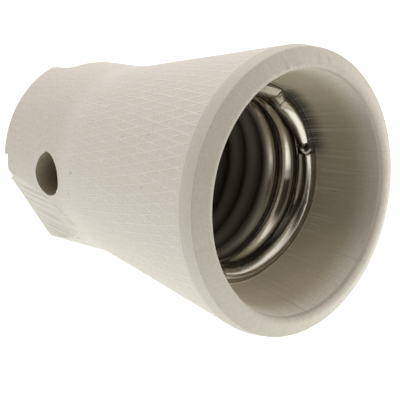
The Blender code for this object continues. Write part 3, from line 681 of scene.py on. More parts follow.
def grid_object(name, rows, material, capped, sharp=45.0):
    """A tube of rings, closed into a ring or capped at both ends."""
    count, columns = len(rows), len(rows[0])
    faces = ring_faces(count, columns, closed_rows=not capped)
    if capped:
        faces += [tuple(range(columns)), tuple(range((count - 1) * columns, count * columns))]
    return closed_object(name, [point for row in rows for point in row], faces, material, sharp)


def prism(name, outline, low_station, high_station, material=None):
    """Extrude an (x, z) outline between two stations."""
    rows = [[(x, -station, z) for x, z in outline] for station in (low_station, high_station)]
    return grid_object(name, rows, material, True, 40.0)


def plate(name, outline, low, high, holes, material, edge=0.12):
    """A flat piece with round holes and softened edges. edge is in millimetres."""
    item = prism(name, outline, low, high, material)
    for centre in holes:
        cut(item, prism("hole_tool", circle(centre, HOLE_RADIUS), low - MM, high + MM))
    soften(item, edge * MM)
    return item


def circle(centre, radius):
    angles = [math.tau * step / CIRCLE_STEPS for step in range(CIRCLE_STEPS)]
    return [(centre.x + radius * math.cos(a), centre.z + radius * math.sin(a)) for a in angles]


def capsule(start, end, radius):
    """The outline round two equal circles."""
    heading = math.atan2(end.z - start.z, end.x - start.x)
    points, steps = [], CIRCLE_STEPS // 2
    for centre, first in ((end, heading - math.pi / 2), (start, heading + math.pi / 2)):
        for step in range(steps + 1):
            angle = first + math.pi * step / steps
            points.append((centre.x + radius * math.cos(angle), centre.z + radius * math.sin(angle)))
    return points


def smooth_step(low, high, value):
    share = np.clip((value - low) / (high - low), 0.0, 1.0)
    return share * share * (3.0 - 2.0 * share)


def arc(centre, radius, first, last, rows):
    """Points round part of a circle in the (station, radius) plane; 0 degrees points to the mouth."""
    angles = [math.radians(first + (last - first) * row / rows) for row in range(rows + 1)]
    return [(centre[0] + radius * math.cos(a), centre[1] + radius * math.sin(a)) for a in angles]


def slope_at(path, index):
    """The direction of a path of pairs at one of its points."""
    before, after = path[max(0, index - 1)], path[min(len(path) - 1, index + 1)]
    return Vector((after[0] - before[0], after[1] - before[1])).normalized()


def straight(start, end, rows):
    return [tuple(a + (b - a) * row / rows for a, b in zip(start, end)) for row in range(rows + 1)]


# Porcelain body --------------------------------------------------------------


def skirt_radius(station):
    """A plain neck and a straight flare, joined by a soft bend."""
    reach = station - NECK_LENGTH
    bend = min(max(reach + NECK_BEND, 0.0), 2 * NECK_BEND)
    return NECK_RADIUS + SKIRT_FLARE * (bend**2 / (4 * NECK_BEND) + max(0.0, reach - NECK_BEND))


def skirt_rows():
    """The outside from neck to lip."""
    return [(station, skirt_radius(station)) for station in np.linspace(MM, SKIRT_STATION, 101).tolist()]


def body_sections():
    """The body's outline as stretches of (station, radius) points, rear face first, then round the lip."""
    edge, lip_edge, inner_edge = 0.5 * MM, 0.35 * MM, 0.7 * MM
    outside = straight((0.0, ENTRY_RADIUS), (0.0, NECK_RADIUS - edge), 10)[:-1]
    outside += arc((edge, NECK_RADIUS - edge), edge, 180, 90, 4)
    outside += skirt_rows()
    skirt_end = outside[-1][1]
    band = straight((SKIRT_STATION + 0.35 * MM, skirt_end - 0.02 * MM),
                    (LIP_STATION - lip_edge, LIP_RADIUS + 0.08 * MM), 5)
    lip = arc((LIP_STATION - lip_edge, LIP_RADIUS - lip_edge + 0.06 * MM), lip_edge, 78, 15, 4)
    top = (LIP_FRONT_STATION - inner_edge, MOUTH_RADIUS + inner_edge)
    inner_arc = arc(top, inner_edge, 20, -95, 9)
    lip += straight(lip[-1], inner_arc[0], 8)[1:-1]
    chamfer = [(LEDGE_STATION + along * MM, LEDGE_RADIUS + out * MM) for along, out in LEDGE_CHAMFER]
    inside = straight(inner_arc[-1], chamfer[0], 30)[1:] + chamfer[1:]
    hidden = straight((LEDGE_STATION, LEDGE_RADIUS - 0.1 * MM), (LEDGE_STATION, SHELL_BORE_RADIUS), 2)
    for radius, start, end, rows in ((SHELL_BORE_RADIUS, BACK_LIMITS[0] - 0.5 * MM, SHELL_BORE_STATION, 6),
                                     (BLOCK_BORE_RADIUS, SHELL_BORE_STATION, BLOCK_SEAT_STATION, 2),
                                     (CAVITY_RADIUS, BLOCK_SEAT_STATION, REAR_WALL, 20),
                                     (ENTRY_RADIUS, REAR_WALL, 0.5 * MM, 2)):
        hidden += straight((start, radius), (end, radius), rows)
    return {"outside": outside + band, "lip": lip + inner_arc, "inside": inside, "hidden": hidden}


def flat_distance(bearings, station, bearing, floor):
    """How far out a flat lies at this station, along each point's own bearing."""
    distance = np.interp(station / MM, *zip(*floor)) * MM
    off = np.cos(np.radians(bearings - bearing))
    return np.where(off > 0.3, distance / np.maximum(off, 0.3), 1.0)


def soft_minimum(first, second, width):
    gap = np.clip(0.5 + 0.5 * (second - first) / width, 0.0, 1.0)
    return second + (first - second) * gap - width * gap * (1.0 - gap)


# Which of the body's three materials each stretch has
BODY_SLOTS = {"outside": 0, "lip": 1, "inside": 2, "hidden": 2}

# Chips out of the lip's edges: bearing, then station, radius, size and depth in millimetres
CHIPS = (
    (86.0, 50.0, 17.9, 0.8, 0.22), (80.0, 50.0, 18.1, 0.9, 0.20), (74.0, 50.1, 17.8, 0.7, 0.20),
    (101.0, 49.8, 18.6, 0.8, 0.18), (107.0, 49.8, 18.8, 0.6, 0.16), (-172.0, 49.8, 18.2, 0.5, 0.18),
    (-60.0, 49.7, 18.3, 0.7, 0.12), (-52.0, 49.6, 18.5, 0.8, 0.12), (14.0, 45.7, 20.4, 0.35, -0.12),
)


def rough_noise(points, scale, seed):
    """Smooth noise from -1 to 1 at each point."""
    return np.array([noise.noise(Vector(p) * scale + Vector((seed, 0.0, 0.0))) for p in points])


def weather(points, stretch):
    """Move the surface in by hand-made unevenness and by the chips."""
    outward = points * np.array([1.0, 0.0, 1.0])
    outward /= np.maximum(np.linalg.norm(outward, axis=1, keepdims=True), 1e-9)
    moved = points.copy()
    swell = rough_noise(points, 160.0, 3.0) * 0.04 * MM + rough_noise(points, 700.0, 11.0) * 0.012 * MM
    moved += outward * swell[:, None]
    if stretch in ("outside", "lip"):
        for bearing, station, radius, size, depth in CHIPS:
            centre = np.array(on_axis_circle(bearing, radius * MM, station * MM))
            away = np.linalg.norm(points - centre, axis=1) / (size * MM)
            inside = away < 1.6
            if inside.any():
                ragged = 1.0 + 0.6 * rough_noise(points[inside], 2600.0, bearing)
                dent = depth * MM * np.clip(1.25 - away[inside] * ragged, 0.0, 0.7)
                inward = -0.6 * outward[inside] + np.array([0.0, 1.0, 0.0])
                moved[inside] += inward * dent[:, None]
    return moved


def cross_hole_tool(materials):
    """An oval bar, flared where it leaves the neck and pointed at its upper end."""
    steps = 48
    rings = ((-0.6 * CAVITY_RADIUS, 0.0), (-NECK_RADIUS + 0.4 * MM, 0.0),
             (-NECK_RADIUS + 0.1 * MM, 0.04 * MM), (-1.15 * NECK_RADIUS, 0.5 * MM))
    rows = []
    for x, flare in rings:
        row = []
        for step in range(steps):
            angle = math.tau * step / steps
            point = 0.45 * MM * max(0.0, math.sin(angle)) ** 6
            y = -CROSS_HOLE_STATION + (CROSS_HOLE_HALF_LENGTH + flare) * math.cos(angle)
            z = (CROSS_HOLE_HALF_HEIGHT + flare) * math.sin(angle) + point
            ragged = noise.noise(Vector((4.0 * math.cos(angle), 4.0 * math.sin(angle), 5.0))) * 0.08 * MM
            row.append((x, y + ragged, z + ragged))
        rows.append(row)
    tool = grid_object("cross_hole_tool", rows, None, True, 40.0)
    for material in materials:
        tool.data.materials.append(material)
    tool.data.polygons.foreach_set("material_index", [BODY_SLOTS["inside"]] * len(tool.data.polygons))
    return tool


def groove_tool():
    """A plus sign, as long as the rear face is wide."""
    half, reach = GROOVE_WIDTH / 2, 1.2 * NECK_RADIUS
    outline = []
    for quarter in range(4):
        turn = Matrix.Rotation(math.radians(90 * quarter), 4, "Y")
        # Each arm gives its inner corner and its two outer ones
        for x, z in ((half, half), (reach, half), (reach, -half)):
            corner = turn @ Vector((x, 0.0, z))
            outline.append((corner.x, corner.z))
    return prism("groove_tool", outline, -2 * MM, GROOVE_DEPTH)


def make_body():
    """The cast body, its materials by stretch: the outside, the lip, and what lies inside or is hidden."""
    materials = [porcelain(f"porcelain_{part}", part) for part in ("outside", "lip", "inside")]
    bearings = np.arange(BODY_COLUMNS) * 360.0 / BODY_COLUMNS
    back_start, ease_start, ease_end = BACK_LIMITS
    rows, slots = [], []
    for stretch, outline in body_sections().items():
        for station, radius in outline:
            radii = np.full(BODY_COLUMNS, radius)
            stations = np.full(BODY_COLUMNS, station)
            if stretch in ("inside", "hidden") and station > back_start:
                share = np.clip((ease_end - station) / (ease_end - ease_start), 0.0, 1.0)
                stations -= backset(bearings) * share
            if stretch == "outside" and radius > 0.6 * NECK_RADIUS and station < NECK_LENGTH:
                for bearing, floor in FLATS.items():
                    radii = soft_minimum(radii, flat_distance(bearings, station, bearing, floor), 0.12 * MM)
            rows.append(weather(ring_points(bearings, radii, stations), stretch))
            slots += [BODY_SLOTS[stretch]] * BODY_COLUMNS
    vertices = np.concatenate(rows)
    mesh = bpy.data.meshes.new("porcelain_shell")
    mesh.from_pydata(vertices.tolist(), [], ring_faces(len(rows), BODY_COLUMNS))
    for material in materials:
        mesh.materials.append(material)
    mesh.polygons.foreach_set("material_index", slots)
    mesh.update()
    body = link_object("porcelain_shell", mesh, 40.0)
    cut(body, groove_tool())
    cut(body, cross_hole_tool(materials))
    for bearing in BLOCK_SCREW_BEARINGS:
        absorb(body, make_ear(bearing), BODY_SLOTS["inside"])
    body.data.set_sharp_from_angle(angle=math.radians(40))
    declare(body, "holder", "porcelain_body")


# Threaded shell --------------------------------------------------------------


def tightness(bearings):
    """1 beside the tongue's hook, where the thread runs on towards the rim, and 0 elsewhere."""
    return np.interp(np.mod(bearings, 360.0), TIGHT_BEARINGS, (0.0, 1.0, 1.0, 0.0))


def backset(bearings):
    """How far back the rim and its ledge lie, in metres."""
    return BACK_REACH * np.interp(np.mod(bearings, 360.0), BACK_BEARINGS, (0.0, 1.0, 1.0, 0.0))


def thread_end(bearings):
    return THREAD_END_STATION + TIGHT_REACH * tightness(bearings) - 0.5 * backset(bearings)


def thread_radius(stations, bearings):
    """The right-handed thread's inner radius."""
    turns = math.tau * stations / THREAD_PITCH
    runout = smooth_step(0.0, 0.35 * THREAD_PITCH, thread_end(bearings) - stations)
    return THREAD_MEAN_RADIUS + THREAD_DEPTH * np.cos(turns + np.radians(bearings) + THREAD_PHASE) * runout


def rim_outline(bearings):
    """The collar, the rolled shoulder and the flange, as arrays of station and radius towards the edge."""
    tight = tightness(bearings)
    shoulder = (1.5 - 0.75 * tight) * MM
    front, inner = RIM_FRONT_STATION - backset(bearings), THREAD_MEAN_RADIUS - 0.05 * MM
    first, last = np.radians(-78.0 - 12.0 * tight), math.radians(-25.0)
    centre_station, centre_radius = front - shoulder, inner - shoulder * np.sin(first)
    rolled = []
    for angle in (first + (last - first) * row / 14 for row in range(15)):
        rolled.append((centre_station + shoulder * np.cos(angle), centre_radius + shoulder * np.sin(angle)))
    start, foot = thread_end(bearings) + 0.03 * MM, rolled[0][0]
    everywhere = np.ones_like(start)
    rows = [(start + (foot - start) * row / 4, inner * everywhere) for row in range(1, 4)] + rolled
    edge_station, edge_radius = front - 0.22 * MM, RIM_OUTER_RADIUS - 0.2 * MM
    end_station, end_radius = rows[-1]
    for share in (0.2, 0.4, 0.6, 0.8):
        rows.append((end_station + (edge_station + 0.12 * MM - end_station) * share,
                     end_radius + (edge_radius - end_radius) * share))
    for station, radius in arc((0.0, edge_radius), 0.2 * MM, 25, 100, 4):
        rows.append((edge_station + station, radius * everywhere))
    return rows


def lap(bearings, radius):
    """How far the flange lies back where the rolled sheet laps over itself, from 0 to 1."""
    along = np.clip((LAP_BEARING - bearings) / LAP_SPAN, 0.0, 1.0)
    there = np.where((bearings < LAP_BEARING) & (bearings > LAP_BEARING - LAP_SPAN), 1.0 - along, 0.0)
    return there * np.clip((radius - 13.4 * MM) / (0.3 * MM), 0.0, 1.0)


def rim_lift(bearings, radius):
    """How far the flange is pulled forward where the tongue leaves it."""
    reach = np.clip((bearings - TONGUE_BEARINGS[0] + ROOT_LIFT_SPAN) / ROOT_LIFT_SPAN, 0.0, 1.0)
    reach = np.where(bearings > sum(TONGUE_BEARINGS) / 2, 0.0, reach)
    outward = np.clip((radius - COLLAR_RADIUS) / (RIM_OUTER_RADIUS - COLLAR_RADIUS), 0.0, 1.0)
    return ROOT_LIFT * outward * reach**2


def make_shell():
    """The pressed shell: thread, collar and rim in one sheet, two tabs, and a gap for the tongue."""
    material = nickel("nickel_plate", RIM_FLANGE_RADIUS, RIM_FLANGE_RADIUS)
    bearings = np.arange(SHELL_COLUMNS) * 360.0 / SHELL_COLUMNS - 180.0
    reach = thread_end(bearings) - SHELL_FLOOR_STATION
    levels = [SHELL_FLOOR_STATION + reach * share for share in np.linspace(0.0, 1.0, SHELL_LEVELS)]
    rows = [ring_points(bearings, thread_radius(level, bearings), level) for level in levels]
    rim = rim_outline(bearings)
    for station, radius in rim:
        back = LAP_STEP * lap(bearings, radius)
        wave = RIM_WAVE * np.sin(np.radians(3 * bearings + 40.0))
        rows.append(ring_points(bearings, radius + wave, station + rim_lift(bearings, radius) - back))
    for station, radius in reversed(rim):
        rows.append(ring_points(bearings, np.maximum(THREAD_MEAN_RADIUS + SHEET, radius - 0.12 * MM),
                                station - 0.8 * SHEET + rim_lift(bearings, radius)))
    rows += [ring_points(bearings, thread_radius(level, bearings) + SHEET, level) for level in levels[::-1]]
    shell = grid_object("nickel_shell", [row.tolist() for row in rows], material, False, 60.0)
    gap = sector(*TONGUE_BEARINGS, RIM_OUTER_RADIUS - 4 * MM, RIM_OUTER_RADIUS + 2 * MM)
    cut(shell, prism("gap_tool", gap, TONGUE_SLIT_STATION, RIM_FRONT_STATION + 2 * MM), "MANIFOLD")
    for bearing in SHELL_SCREW_BEARINGS:
        absorb(shell, make_tab(bearing, material), 0)
    declare(shell, "holder", "screw_shell")


def sector(first, last, inner, outer):
    """A ring sector between two bearings, as (x, z) points."""
    bearings = [first + (last - first) * step / 10 for step in range(11)]
    points = [on_axis_circle(bearing, outer) for bearing in bearings]
    points += [on_axis_circle(bearing, inner) for bearing in reversed(bearings)]
    return [(point.x, point.z) for point in points]


def make_tab(bearing, material):
    """A tab turned in from the shell's wall, with a round end and a hole."""
    centre = on_axis_circle(bearing, BOLT_CIRCLE_RADIUS)
    outward, side = on_axis_circle(bearing, 1.0), on_axis_circle(bearing + 90.0, 1.0)
    points = [centre + (side * math.cos(a) - outward * math.sin(a)) * TAB_HALF_WIDTH
              for a in (math.pi * step / 24 for step in range(25))]
    spread = math.degrees(TAB_HALF_WIDTH / THREAD_MEAN_RADIUS)
    for step in range(9):
        place = bearing + spread * (step - 4) / 4
        wall = float(thread_radius(SHELL_FLOOR_STATION, place)) + SHEET / 2
        points.append(on_axis_circle(place, wall))
    outline = [(point.x, point.z) for point in points]
    top = SHELL_FLOOR_STATION + TAB_THICKNESS
    return plate("tab", outline, SHELL_FLOOR_STATION, top, [centre], material, 0.08)


def tongue_path(share):
    """Bearing and radius of the tongue's inner face, from root to the end of its hook."""
    first, last = TONGUE_BEARINGS[0] - 1.2, TONGUE_BEARINGS[1] - 4.0
    hook_start, hook_radius = TONGUE_BENDS[-1]
    if share <= hook_start:
        return first + (last - first) * share / hook_start, np.interp(share, *zip(*TONGUE_BENDS)) * MM
    turn = 2.0 * (share - hook_start) / (1.0 - hook_start)
    angle = math.radians(HOOK_TURN * min(1.0, turn))
    run = max(0.0, turn - 1.0) * HOOK_RUN
    along = HOOK_BEND * math.sin(angle) + run * math.cos(angle)
    outward = HOOK_BEND * (1.0 - math.cos(angle)) + run * math.sin(angle)
    radius = hook_radius * MM + outward
    return last + math.degrees(along / radius), radius


def tongue_section(share):
    """The inner face as (station, distance outward) points: collar, shoulder and flange."""
    hook = smooth_step(0.80, 0.90, share)
    lean = 1.0 - smooth_step(0.0, 0.16, share)
    shoulder = np.interp(share, *zip(*TONGUE_SHOULDERS)) * MM
    front = RIM_FRONT_STATION - (0.10 * (1.0 - lean) + 0.30 * hook) * MM
    rear = min(TONGUE_SLIT_STATION + 0.45 * MM, front - shoulder - 0.1 * MM) + 0.78 * hook * MM
    _, radius = tongue_path(share)
    outer = np.interp(share, *zip(*TONGUE_EDGES)) * MM
    bend = (front - shoulder, shoulder)
    points = straight((rear, 0.0), (bend[0], 0.0), 4)
    points += arc(bend, shoulder, -90, -22.0, 14)[1:]
    station, offset = points[-1]
    flange = max(0.05 * MM, (outer - radius - offset) * (1.0 - hook))
    for place in np.linspace(0.125, 1.0, 8):
        crown = 0.16 * math.sin(math.pi * place)
        forward = crown + 0.35 * lean * place - 0.20 * (1.0 - lean) * place**2
        points.append((station + forward * flange, offset + flange * place))
    return points


def make_tongue():
    """A length of the rim cut free, bent inward and hooked at its end."""
    material = nickel("nickel_tongue", TONGUE_FLANGE_RADIUS, TONGUE_ROOT_FLANGE_RADIUS)
    steps = 110
    places = [on_axis_circle(*tongue_path(step / steps)) for step in range(steps + 1)]
    rows = []
    for step, place in enumerate(places):
        along = (places[min(steps, step + 1)] - places[max(0, step - 1)]).normalized()
        outward = Vector((0.0, 1.0, 0.0)).cross(along)
        if outward.dot(place) < 0 and step < 0.8 * steps:
            outward = -outward
        face = tongue_section(step / steps)
        thickness = SHEET * (1.0 - 0.4 * smooth_step(0.82, 0.92, step / steps))
        back = []
        for index, (station, offset) in enumerate(face):
            slope = slope_at(face, index)
            back.append((station - slope.y * thickness, offset + slope.x * thickness))
        section = face + back[::-1]
        rows.append([place + outward * offset - Vector((0.0, station, 0.0)) for station, offset in section])
    tongue = grid_object("nickel_tongue", rows, material, True, 50.0)
    declare(tongue, "tongue", "retention_spring")


# Inner pieces ----------------------------------------------------------------


def make_ear(bearing):
    """One of the body's two inner ears, which the block is screwed to."""
    inner = on_axis_circle(bearing, BOLT_CIRCLE_RADIUS)
    outline = capsule(inner, on_axis_circle(bearing, EAR_ROOT_RADIUS), EAR_HALF_WIDTH)
    return plate("ear", outline, BLOCK_SEAT_STATION - EAR_THICKNESS, BLOCK_SEAT_STATION, [inner], None, 0.25)


def ring_at(centre, radii, station):
    """A ring about a line parallel to the axis. radii is one radius for each column."""
    count = len(radii)
    points = []
    for step, radius in enumerate(radii):
        angle = math.tau * step / count
        points.append((centre.x + radius * math.cos(angle), -station, centre.z + radius * math.sin(angle)))
    return points


def make_screw(node, body, material, slot_bearing):
    """A slotted cheese-head screw with a slightly domed head and a cut thread."""
    low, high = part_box(node)
    centre = (low + high) / 2
    rearward = "wire" in node
    top, end = (-high.y, -low.y) if rearward else (-low.y, -high.y)
    sense = 1.0 if rearward else -1.0
    head = (high.x - low.x) / 2
    profile = [(0.0, 0.25 * head)]
    profile += [(0.10 * MM * (step / 6) ** 2, head * (0.25 + 0.62 * step / 6)) for step in range(1, 7)]
    profile += [(0.22 * MM, 0.955 * head), (0.40 * MM, 0.99 * head), (0.6 * MM, head),
                (HEAD_HEIGHT - 0.2 * MM, head), (HEAD_HEIGHT - 0.05 * MM, 0.975 * head),
                (HEAD_HEIGHT, 0.94 * head), (HEAD_HEIGHT, SHANK_RADIUS)]
    rows = [ring_at(centre, [radius] * SCREW_COLUMNS, top + sense * depth) for depth, radius in profile]
    length = abs(end - top)
    thread_start = HEAD_HEIGHT + 0.1 * MM
    count = round((length - thread_start) / (SCREW_PITCH / 8))
    for depth in np.linspace(thread_start, length, count + 1):
        taper = 0.3 * MM * max(0.0, 1.0 - (length - depth) / (0.4 * MM))
        start = min(1.0, (depth - HEAD_HEIGHT) / (0.8 * MM))
        radii = []
        for step in range(SCREW_COLUMNS):
            wave = 0.5 + 0.5 * math.cos(math.tau * (depth / SCREW_PITCH + sense * step / SCREW_COLUMNS))
            radii.append(SHANK_RADIUS - SCREW_THREAD_DEPTH * start * (1.0 - wave) - taper)
        rows.append(ring_at(centre, radii, top + sense * depth))
    screw = grid_object(f"{node}_piece", rows, material, True)
    turn = Matrix.Rotation(math.radians(slot_bearing), 4, "Y")
    outline = []
    for x, z in ((1, 1), (-1, 1), (-1, -1), (1, -1)):
        corner = turn @ Vector((1.5 * head * x, 0.0, SCREW_SLOT_HALF_WIDTH * z))
        outline.append((centre.x + corner.x, centre.z + corner.z))
    floor = top + sense * SCREW_SLOT_DEPTH
    cut(screw, prism("slot_tool", outline, *sorted((top - sense * MM, floor))))
    screw.data.shade_smooth()
    screw.data.set_sharp_from_angle(angle=math.radians(45))
    declare(screw, body, node)


def make_lock_washer(node, material):
    """A spring washer: one turn of square wire, its ends a little out of line."""
    low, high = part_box(node)
    centre = (low + high) / 2
    outer = (high.z - low.z) / 2
    steps, thick, rise = 60, 0.52 * MM, 0.16 * MM
    middle = -(low.y + high.y) / 2
    corner = 0.08 * MM
    half = thick / 2
    section = [(HOLE_RADIUS + corner, -half), (outer - corner, -half), (outer, corner - half),
               (outer, half - corner), (outer - corner, half), (HOLE_RADIUS + corner, half),
               (HOLE_RADIUS, half - corner), (HOLE_RADIUS, corner - half)]
    rows = []
    for share in np.linspace(0.0, 1.0, steps + 1):
        angle = math.radians(8.0 + 344.0 * share)
        station = middle + rise * (share - 0.5)
        rows.append([(centre.x + r * math.cos(angle), -(station + s), centre.z + r * math.sin(angle))
                     for r, s in section])
    declare(grid_object(f"{node}_piece", rows, material, True, 30.0), "holder", node)


def make_nut(node, bearing, material):
    """A hexagon nut, its corners turned off at both ends and its bore threaded."""
    low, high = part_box(node)
    centre = (low + high) / 2
    near, far = -high.y, -low.y
    flat = []
    for step in range(NUT_COLUMNS):
        off = (360.0 * step / NUT_COLUMNS + bearing + 30.0) % 60.0 - 30.0
        flat.append(NUT_ACROSS_FLATS / 2 / math.cos(math.radians(off)))
    # How far the corners reach, as a share of the width across flats, by distance from the nearer end
    turned = ((0.0, 0.477), (0.1 * MM, 0.4982), (0.35 * MM, 0.5618), (0.6 * MM, 0.636))
    rows = []
    for station, limit in ([(near + depth, limit) for depth, limit in turned]
                           + [(far - depth, limit) for depth, limit in turned[::-1]]):
        rows.append(ring_at(centre, [min(radius, limit * NUT_ACROSS_FLATS) for radius in flat], station))
    turns = round((far - near) / (SCREW_PITCH / 6))
    for row in range(turns + 1):
        station = far - (far - near) * row / turns
        lead = 0.25 * MM * max(0.0, 1.0 - min(station - near, far - station) / (0.3 * MM))
        radii = []
        for step in range(NUT_COLUMNS):
            wave = 0.5 + 0.5 * math.cos(math.tau * (station / SCREW_PITCH + step / NUT_COLUMNS))
            radii.append(HOLE_RADIUS - 0.12 * MM * wave + lead)
        rows.append(ring_at(centre, radii, station))
    declare(grid_object(f"{node}_piece", rows, material, False, 30.0), "holder", node)


def make_terminal(node, contact_point, wire_point, material):
    low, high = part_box(node)
    item = plate(f"{node}_piece", capsule(contact_point, wire_point, TERMINAL_HALF_WIDTH), -high.y, -low.y,
                 [contact_point, wire_point], material, 0.18)
    declare(item, "holder", node)


def make_clamp_washer(node, body, centre, bearing, material):
    """A square saddle with two ribs that grip the wire."""
    low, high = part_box(node)
    rear, front = -high.y, -low.y
    along, side = on_axis_circle(bearing, 1.0), on_axis_circle(bearing + 90.0, 1.0)
    half = 2.3 * MM

    def rectangle(place, width, depth):
        points = [centre + along * (place + u * width) + side * v * depth
                  for u, v in ((-1, -1), (1, -1), (1, 1), (-1, 1))]
        return [(point.x, point.z) for point in points]

    item = plate(f"{node}_piece", rectangle(0.0, half, half), rear, front, [centre], material)
    for place in (-1.95 * MM, 1.95 * MM):
        cut(item, prism("rib_tool", rectangle(place, 0.12 * MM, 2 * half), rear - MM, rear + 0.2 * MM))
    declare(item, body, node)


def make_contact_foot(material):
    low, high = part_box("contact_foot")
    start, along = on_axis_circle(CONTACT_BEARING, BOLT_CIRCLE_RADIUS), on_axis_circle(CONTACT_BEARING, 1.0)
    side = Vector((-along.z, 0.0, along.x))
    width = 2.1 * MM
    points = [start + (side * math.cos(a) + along * math.sin(a)) * width
              for a in (math.pi * step / 24 for step in range(25))]
    inner = along * 3.6 * MM
    points += [inner - side * width, inner + side * width]
    outline = [(point.x, point.z) for point in points]
    item = plate("contact_foot_piece", outline, -high.y, -low.y, [start], material, 0.08)
    declare(item, "holder", "contact_foot")


def make_contact_leaf(material):
    """The sprung end of the strip, rising to the axis and curling back, with a pressed dimple at its top."""
    along = on_axis_circle(CONTACT_BEARING, 1.0)
    side = Vector((-along.z, 0.0, along.x))
    root_reach, overreach, half_width = 3.3 * MM, 2.3 * MM, 1.9 * MM
    root_station, top_station = 19.55 * MM, 22.4 * MM
    rows, columns = 60, 16
    rise_share = 0.72
    path = []
    for row in range(rows + 1):
        share = row / rows
        reach = root_reach - share * (root_reach + overreach)
        rise = math.sin(min(1.0, share / rise_share) * math.pi / 2) ** 1.4
        curl = 0.5 * MM * max(0.0, share - rise_share) / (1.0 - rise_share)
        path.append((reach, root_station + (top_station - root_station) * rise - curl))
    rings = []
    for row, (reach, station) in enumerate(path):
        slope = slope_at(path, row)
        ring = []
        tip = max(0.0, row / rows - 0.9) / 0.1
        width = half_width * math.sqrt(1.0 - 0.45 * tip**2)
        for sense in (-1, 1):
            for column in range(columns + 1):
                across = (2 * column / columns - 1) * sense
                edge = 1.0 - 0.25 * max(0.0, abs(across) - 0.88) / 0.12
                dimple = 0.25 * MM * max(0.0, 1.0 - (reach**2 + (across * width) ** 2) / (0.9 * MM) ** 2)
                offset = sense * STRIP_THICKNESS / 2 * edge
                point = along * (reach + offset * slope.y) + side * across * width
                point.y = -(station - offset * slope.x) - dimple * (-1 if sense * slope.x < 0 else 1) * 0.4
                ring.append(point)
        rings.append(ring)
    leaf = grid_object("contact_leaf_piece", rings, material, True, 50.0)
    declare(leaf, "leaf", "contact_leaf")


def make_block():
    """The pressed insert: a thick disc with holes and a moulded ring on its face."""
    low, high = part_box("terminal_block")
    rear, front, radius = -high.y, -low.y, high.z
    edge = 0.5 * MM
    material = matt("steatite", (0.30, 0.27, 0.22), 2200.0, 0.6)
    outline = [(rear, 0.6 * MM)] + arc((rear + edge, radius - edge), edge, 180, 90, 5)
    outline += straight((rear + edge, radius), (front - edge, radius), 8)[1:-1]
    outline += arc((front - edge, radius - edge), edge, 90, 0, 5)
    outline += [(front, 10.1 * MM), (front - 0.18 * MM, 10.0 * MM), (front - 0.18 * MM, 9.7 * MM),
                (front, 9.6 * MM), (front, 0.6 * MM)]
    rows = [ring_at(AXIS, [size] * BLOCK_COLUMNS, station) for station, size in outline]
    block = grid_object("terminal_block_piece", rows, material, True)
    for bearing in (*SHELL_SCREW_BEARINGS, *BLOCK_SCREW_BEARINGS, CONTACT_BEARING):
        centre = on_axis_circle(bearing, BOLT_CIRCLE_RADIUS)
        cut(block, prism("hole_tool", circle(centre, HOLE_RADIUS), rear - MM, front + MM))
    for centre in (AXIS, on_axis_circle(NEUTRAL_WIRE_BEARING, BOLT_CIRCLE_RADIUS)):
        cut(block, prism("hole_tool", circle(centre, HOLE_RADIUS), rear - MM, rear + 3.5 * MM))
    soften(block, 0.1 * MM)
    declare(block, "holder", "terminal_block")


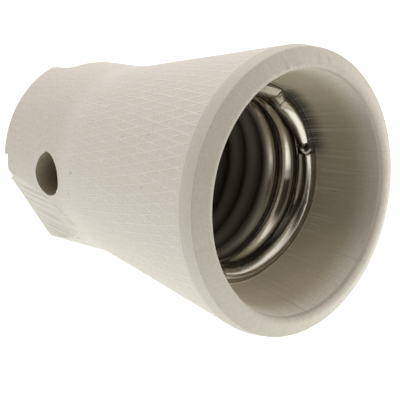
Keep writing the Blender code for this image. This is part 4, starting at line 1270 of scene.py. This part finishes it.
def make_bush():
    """The silicone sleeve: a ribbed bore, rounded ends and a flange inside the rear wall."""
    material = matt("silicone", (0.42, 0.40, 0.37), 900.0, 0.6)
    low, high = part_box("entry_bush")
    rear, front = -high.y, -low.y
    flange, tube, bore = high.z, ENTRY_RADIUS - 0.3 * MM, 3.2 * MM
    wall = REAR_WALL + 0.3 * MM
    outline = arc((rear + 0.35 * MM, bore + 0.35 * MM), 0.35 * MM, -90, -180, 5)
    outline += arc((rear + 0.3 * MM, tube - 0.3 * MM), 0.3 * MM, 180, 90, 5)
    outline += [(wall - 0.05 * MM, tube), (wall, tube + 0.05 * MM), (wall, flange - 0.2 * MM)]
    outline += arc((front - 0.35 * MM, flange - 0.35 * MM), 0.35 * MM, 120, 0, 7)
    outline += arc((front - 0.4 * MM, bore + 0.4 * MM), 0.4 * MM, 0, -90, 5)
    ribs = 48
    start, stop = front - 0.45 * MM, rear + 0.4 * MM
    for step in range(1, ribs):
        station = start + (stop - start) * step / ribs
        outline.append((station, bore + 0.10 * MM * abs(math.sin(math.pi * 4 * step / ribs))))
    rows = [ring_at(AXIS, [size] * BUSH_COLUMNS, station) for station, size in outline]
    declare(grid_object("entry_bush_piece", rows, material, False, 50.0), "holder", "entry_bush")


def main():
    bpy.context.scene.view_settings.view_transform = "Standard"
    make_camera()
    make_world()
    make_floor()
    make_key_light()

    steel = turned_metal("zinc_steel", (0.62, 0.62, 0.62), 0.35)
    brass = turned_metal("contact_brass", (0.60, 0.47, 0.28), 0.34)
    make_body()
    make_shell()
    make_tongue()
    make_block()
    make_bush()
    make_contact_foot(brass)
    make_contact_leaf(brass)

    contact_point = on_axis_circle(CONTACT_BEARING, BOLT_CIRCLE_RADIUS)
    neutral_point = on_axis_circle(NEUTRAL_WIRE_BEARING, BOLT_CIRCLE_RADIUS)
    shell_point = on_axis_circle(SHELL_SCREW_BEARINGS[1], BOLT_CIRCLE_RADIUS)
    make_terminal("live_terminal", contact_point, AXIS, brass)
    make_terminal("neutral_terminal", shell_point, neutral_point, brass)
    make_clamp_washer("live_clamp_washer", "live_clamp", AXIS, CONTACT_BEARING, brass)
    make_clamp_washer("neutral_clamp_washer", "neutral_clamp", neutral_point, NEUTRAL_WIRE_BEARING, brass)

    make_screw("live_wire_screw", "live_clamp", steel, 25.0)
    make_screw("neutral_wire_screw", "neutral_clamp", steel, 70.0)
    slots = {"shell_screw_left": 12.0, "shell_screw_right": 64.0, "contact_screw": -38.0,
             "block_screw_upper": 25.0, "block_screw_lower": 98.0}
    for node, slot_bearing in slots.items():
        make_screw(node, "holder", steel, slot_bearing)
        make_lock_washer(node.replace("screw", "lock_washer"), steel)
    make_nut("shell_nut", SHELL_SCREW_BEARINGS[0], steel)
    make_nut("block_nut_upper", BLOCK_SCREW_BEARINGS[0], steel)
    make_nut("block_nut_lower", BLOCK_SCREW_BEARINGS[1], steel)


main()
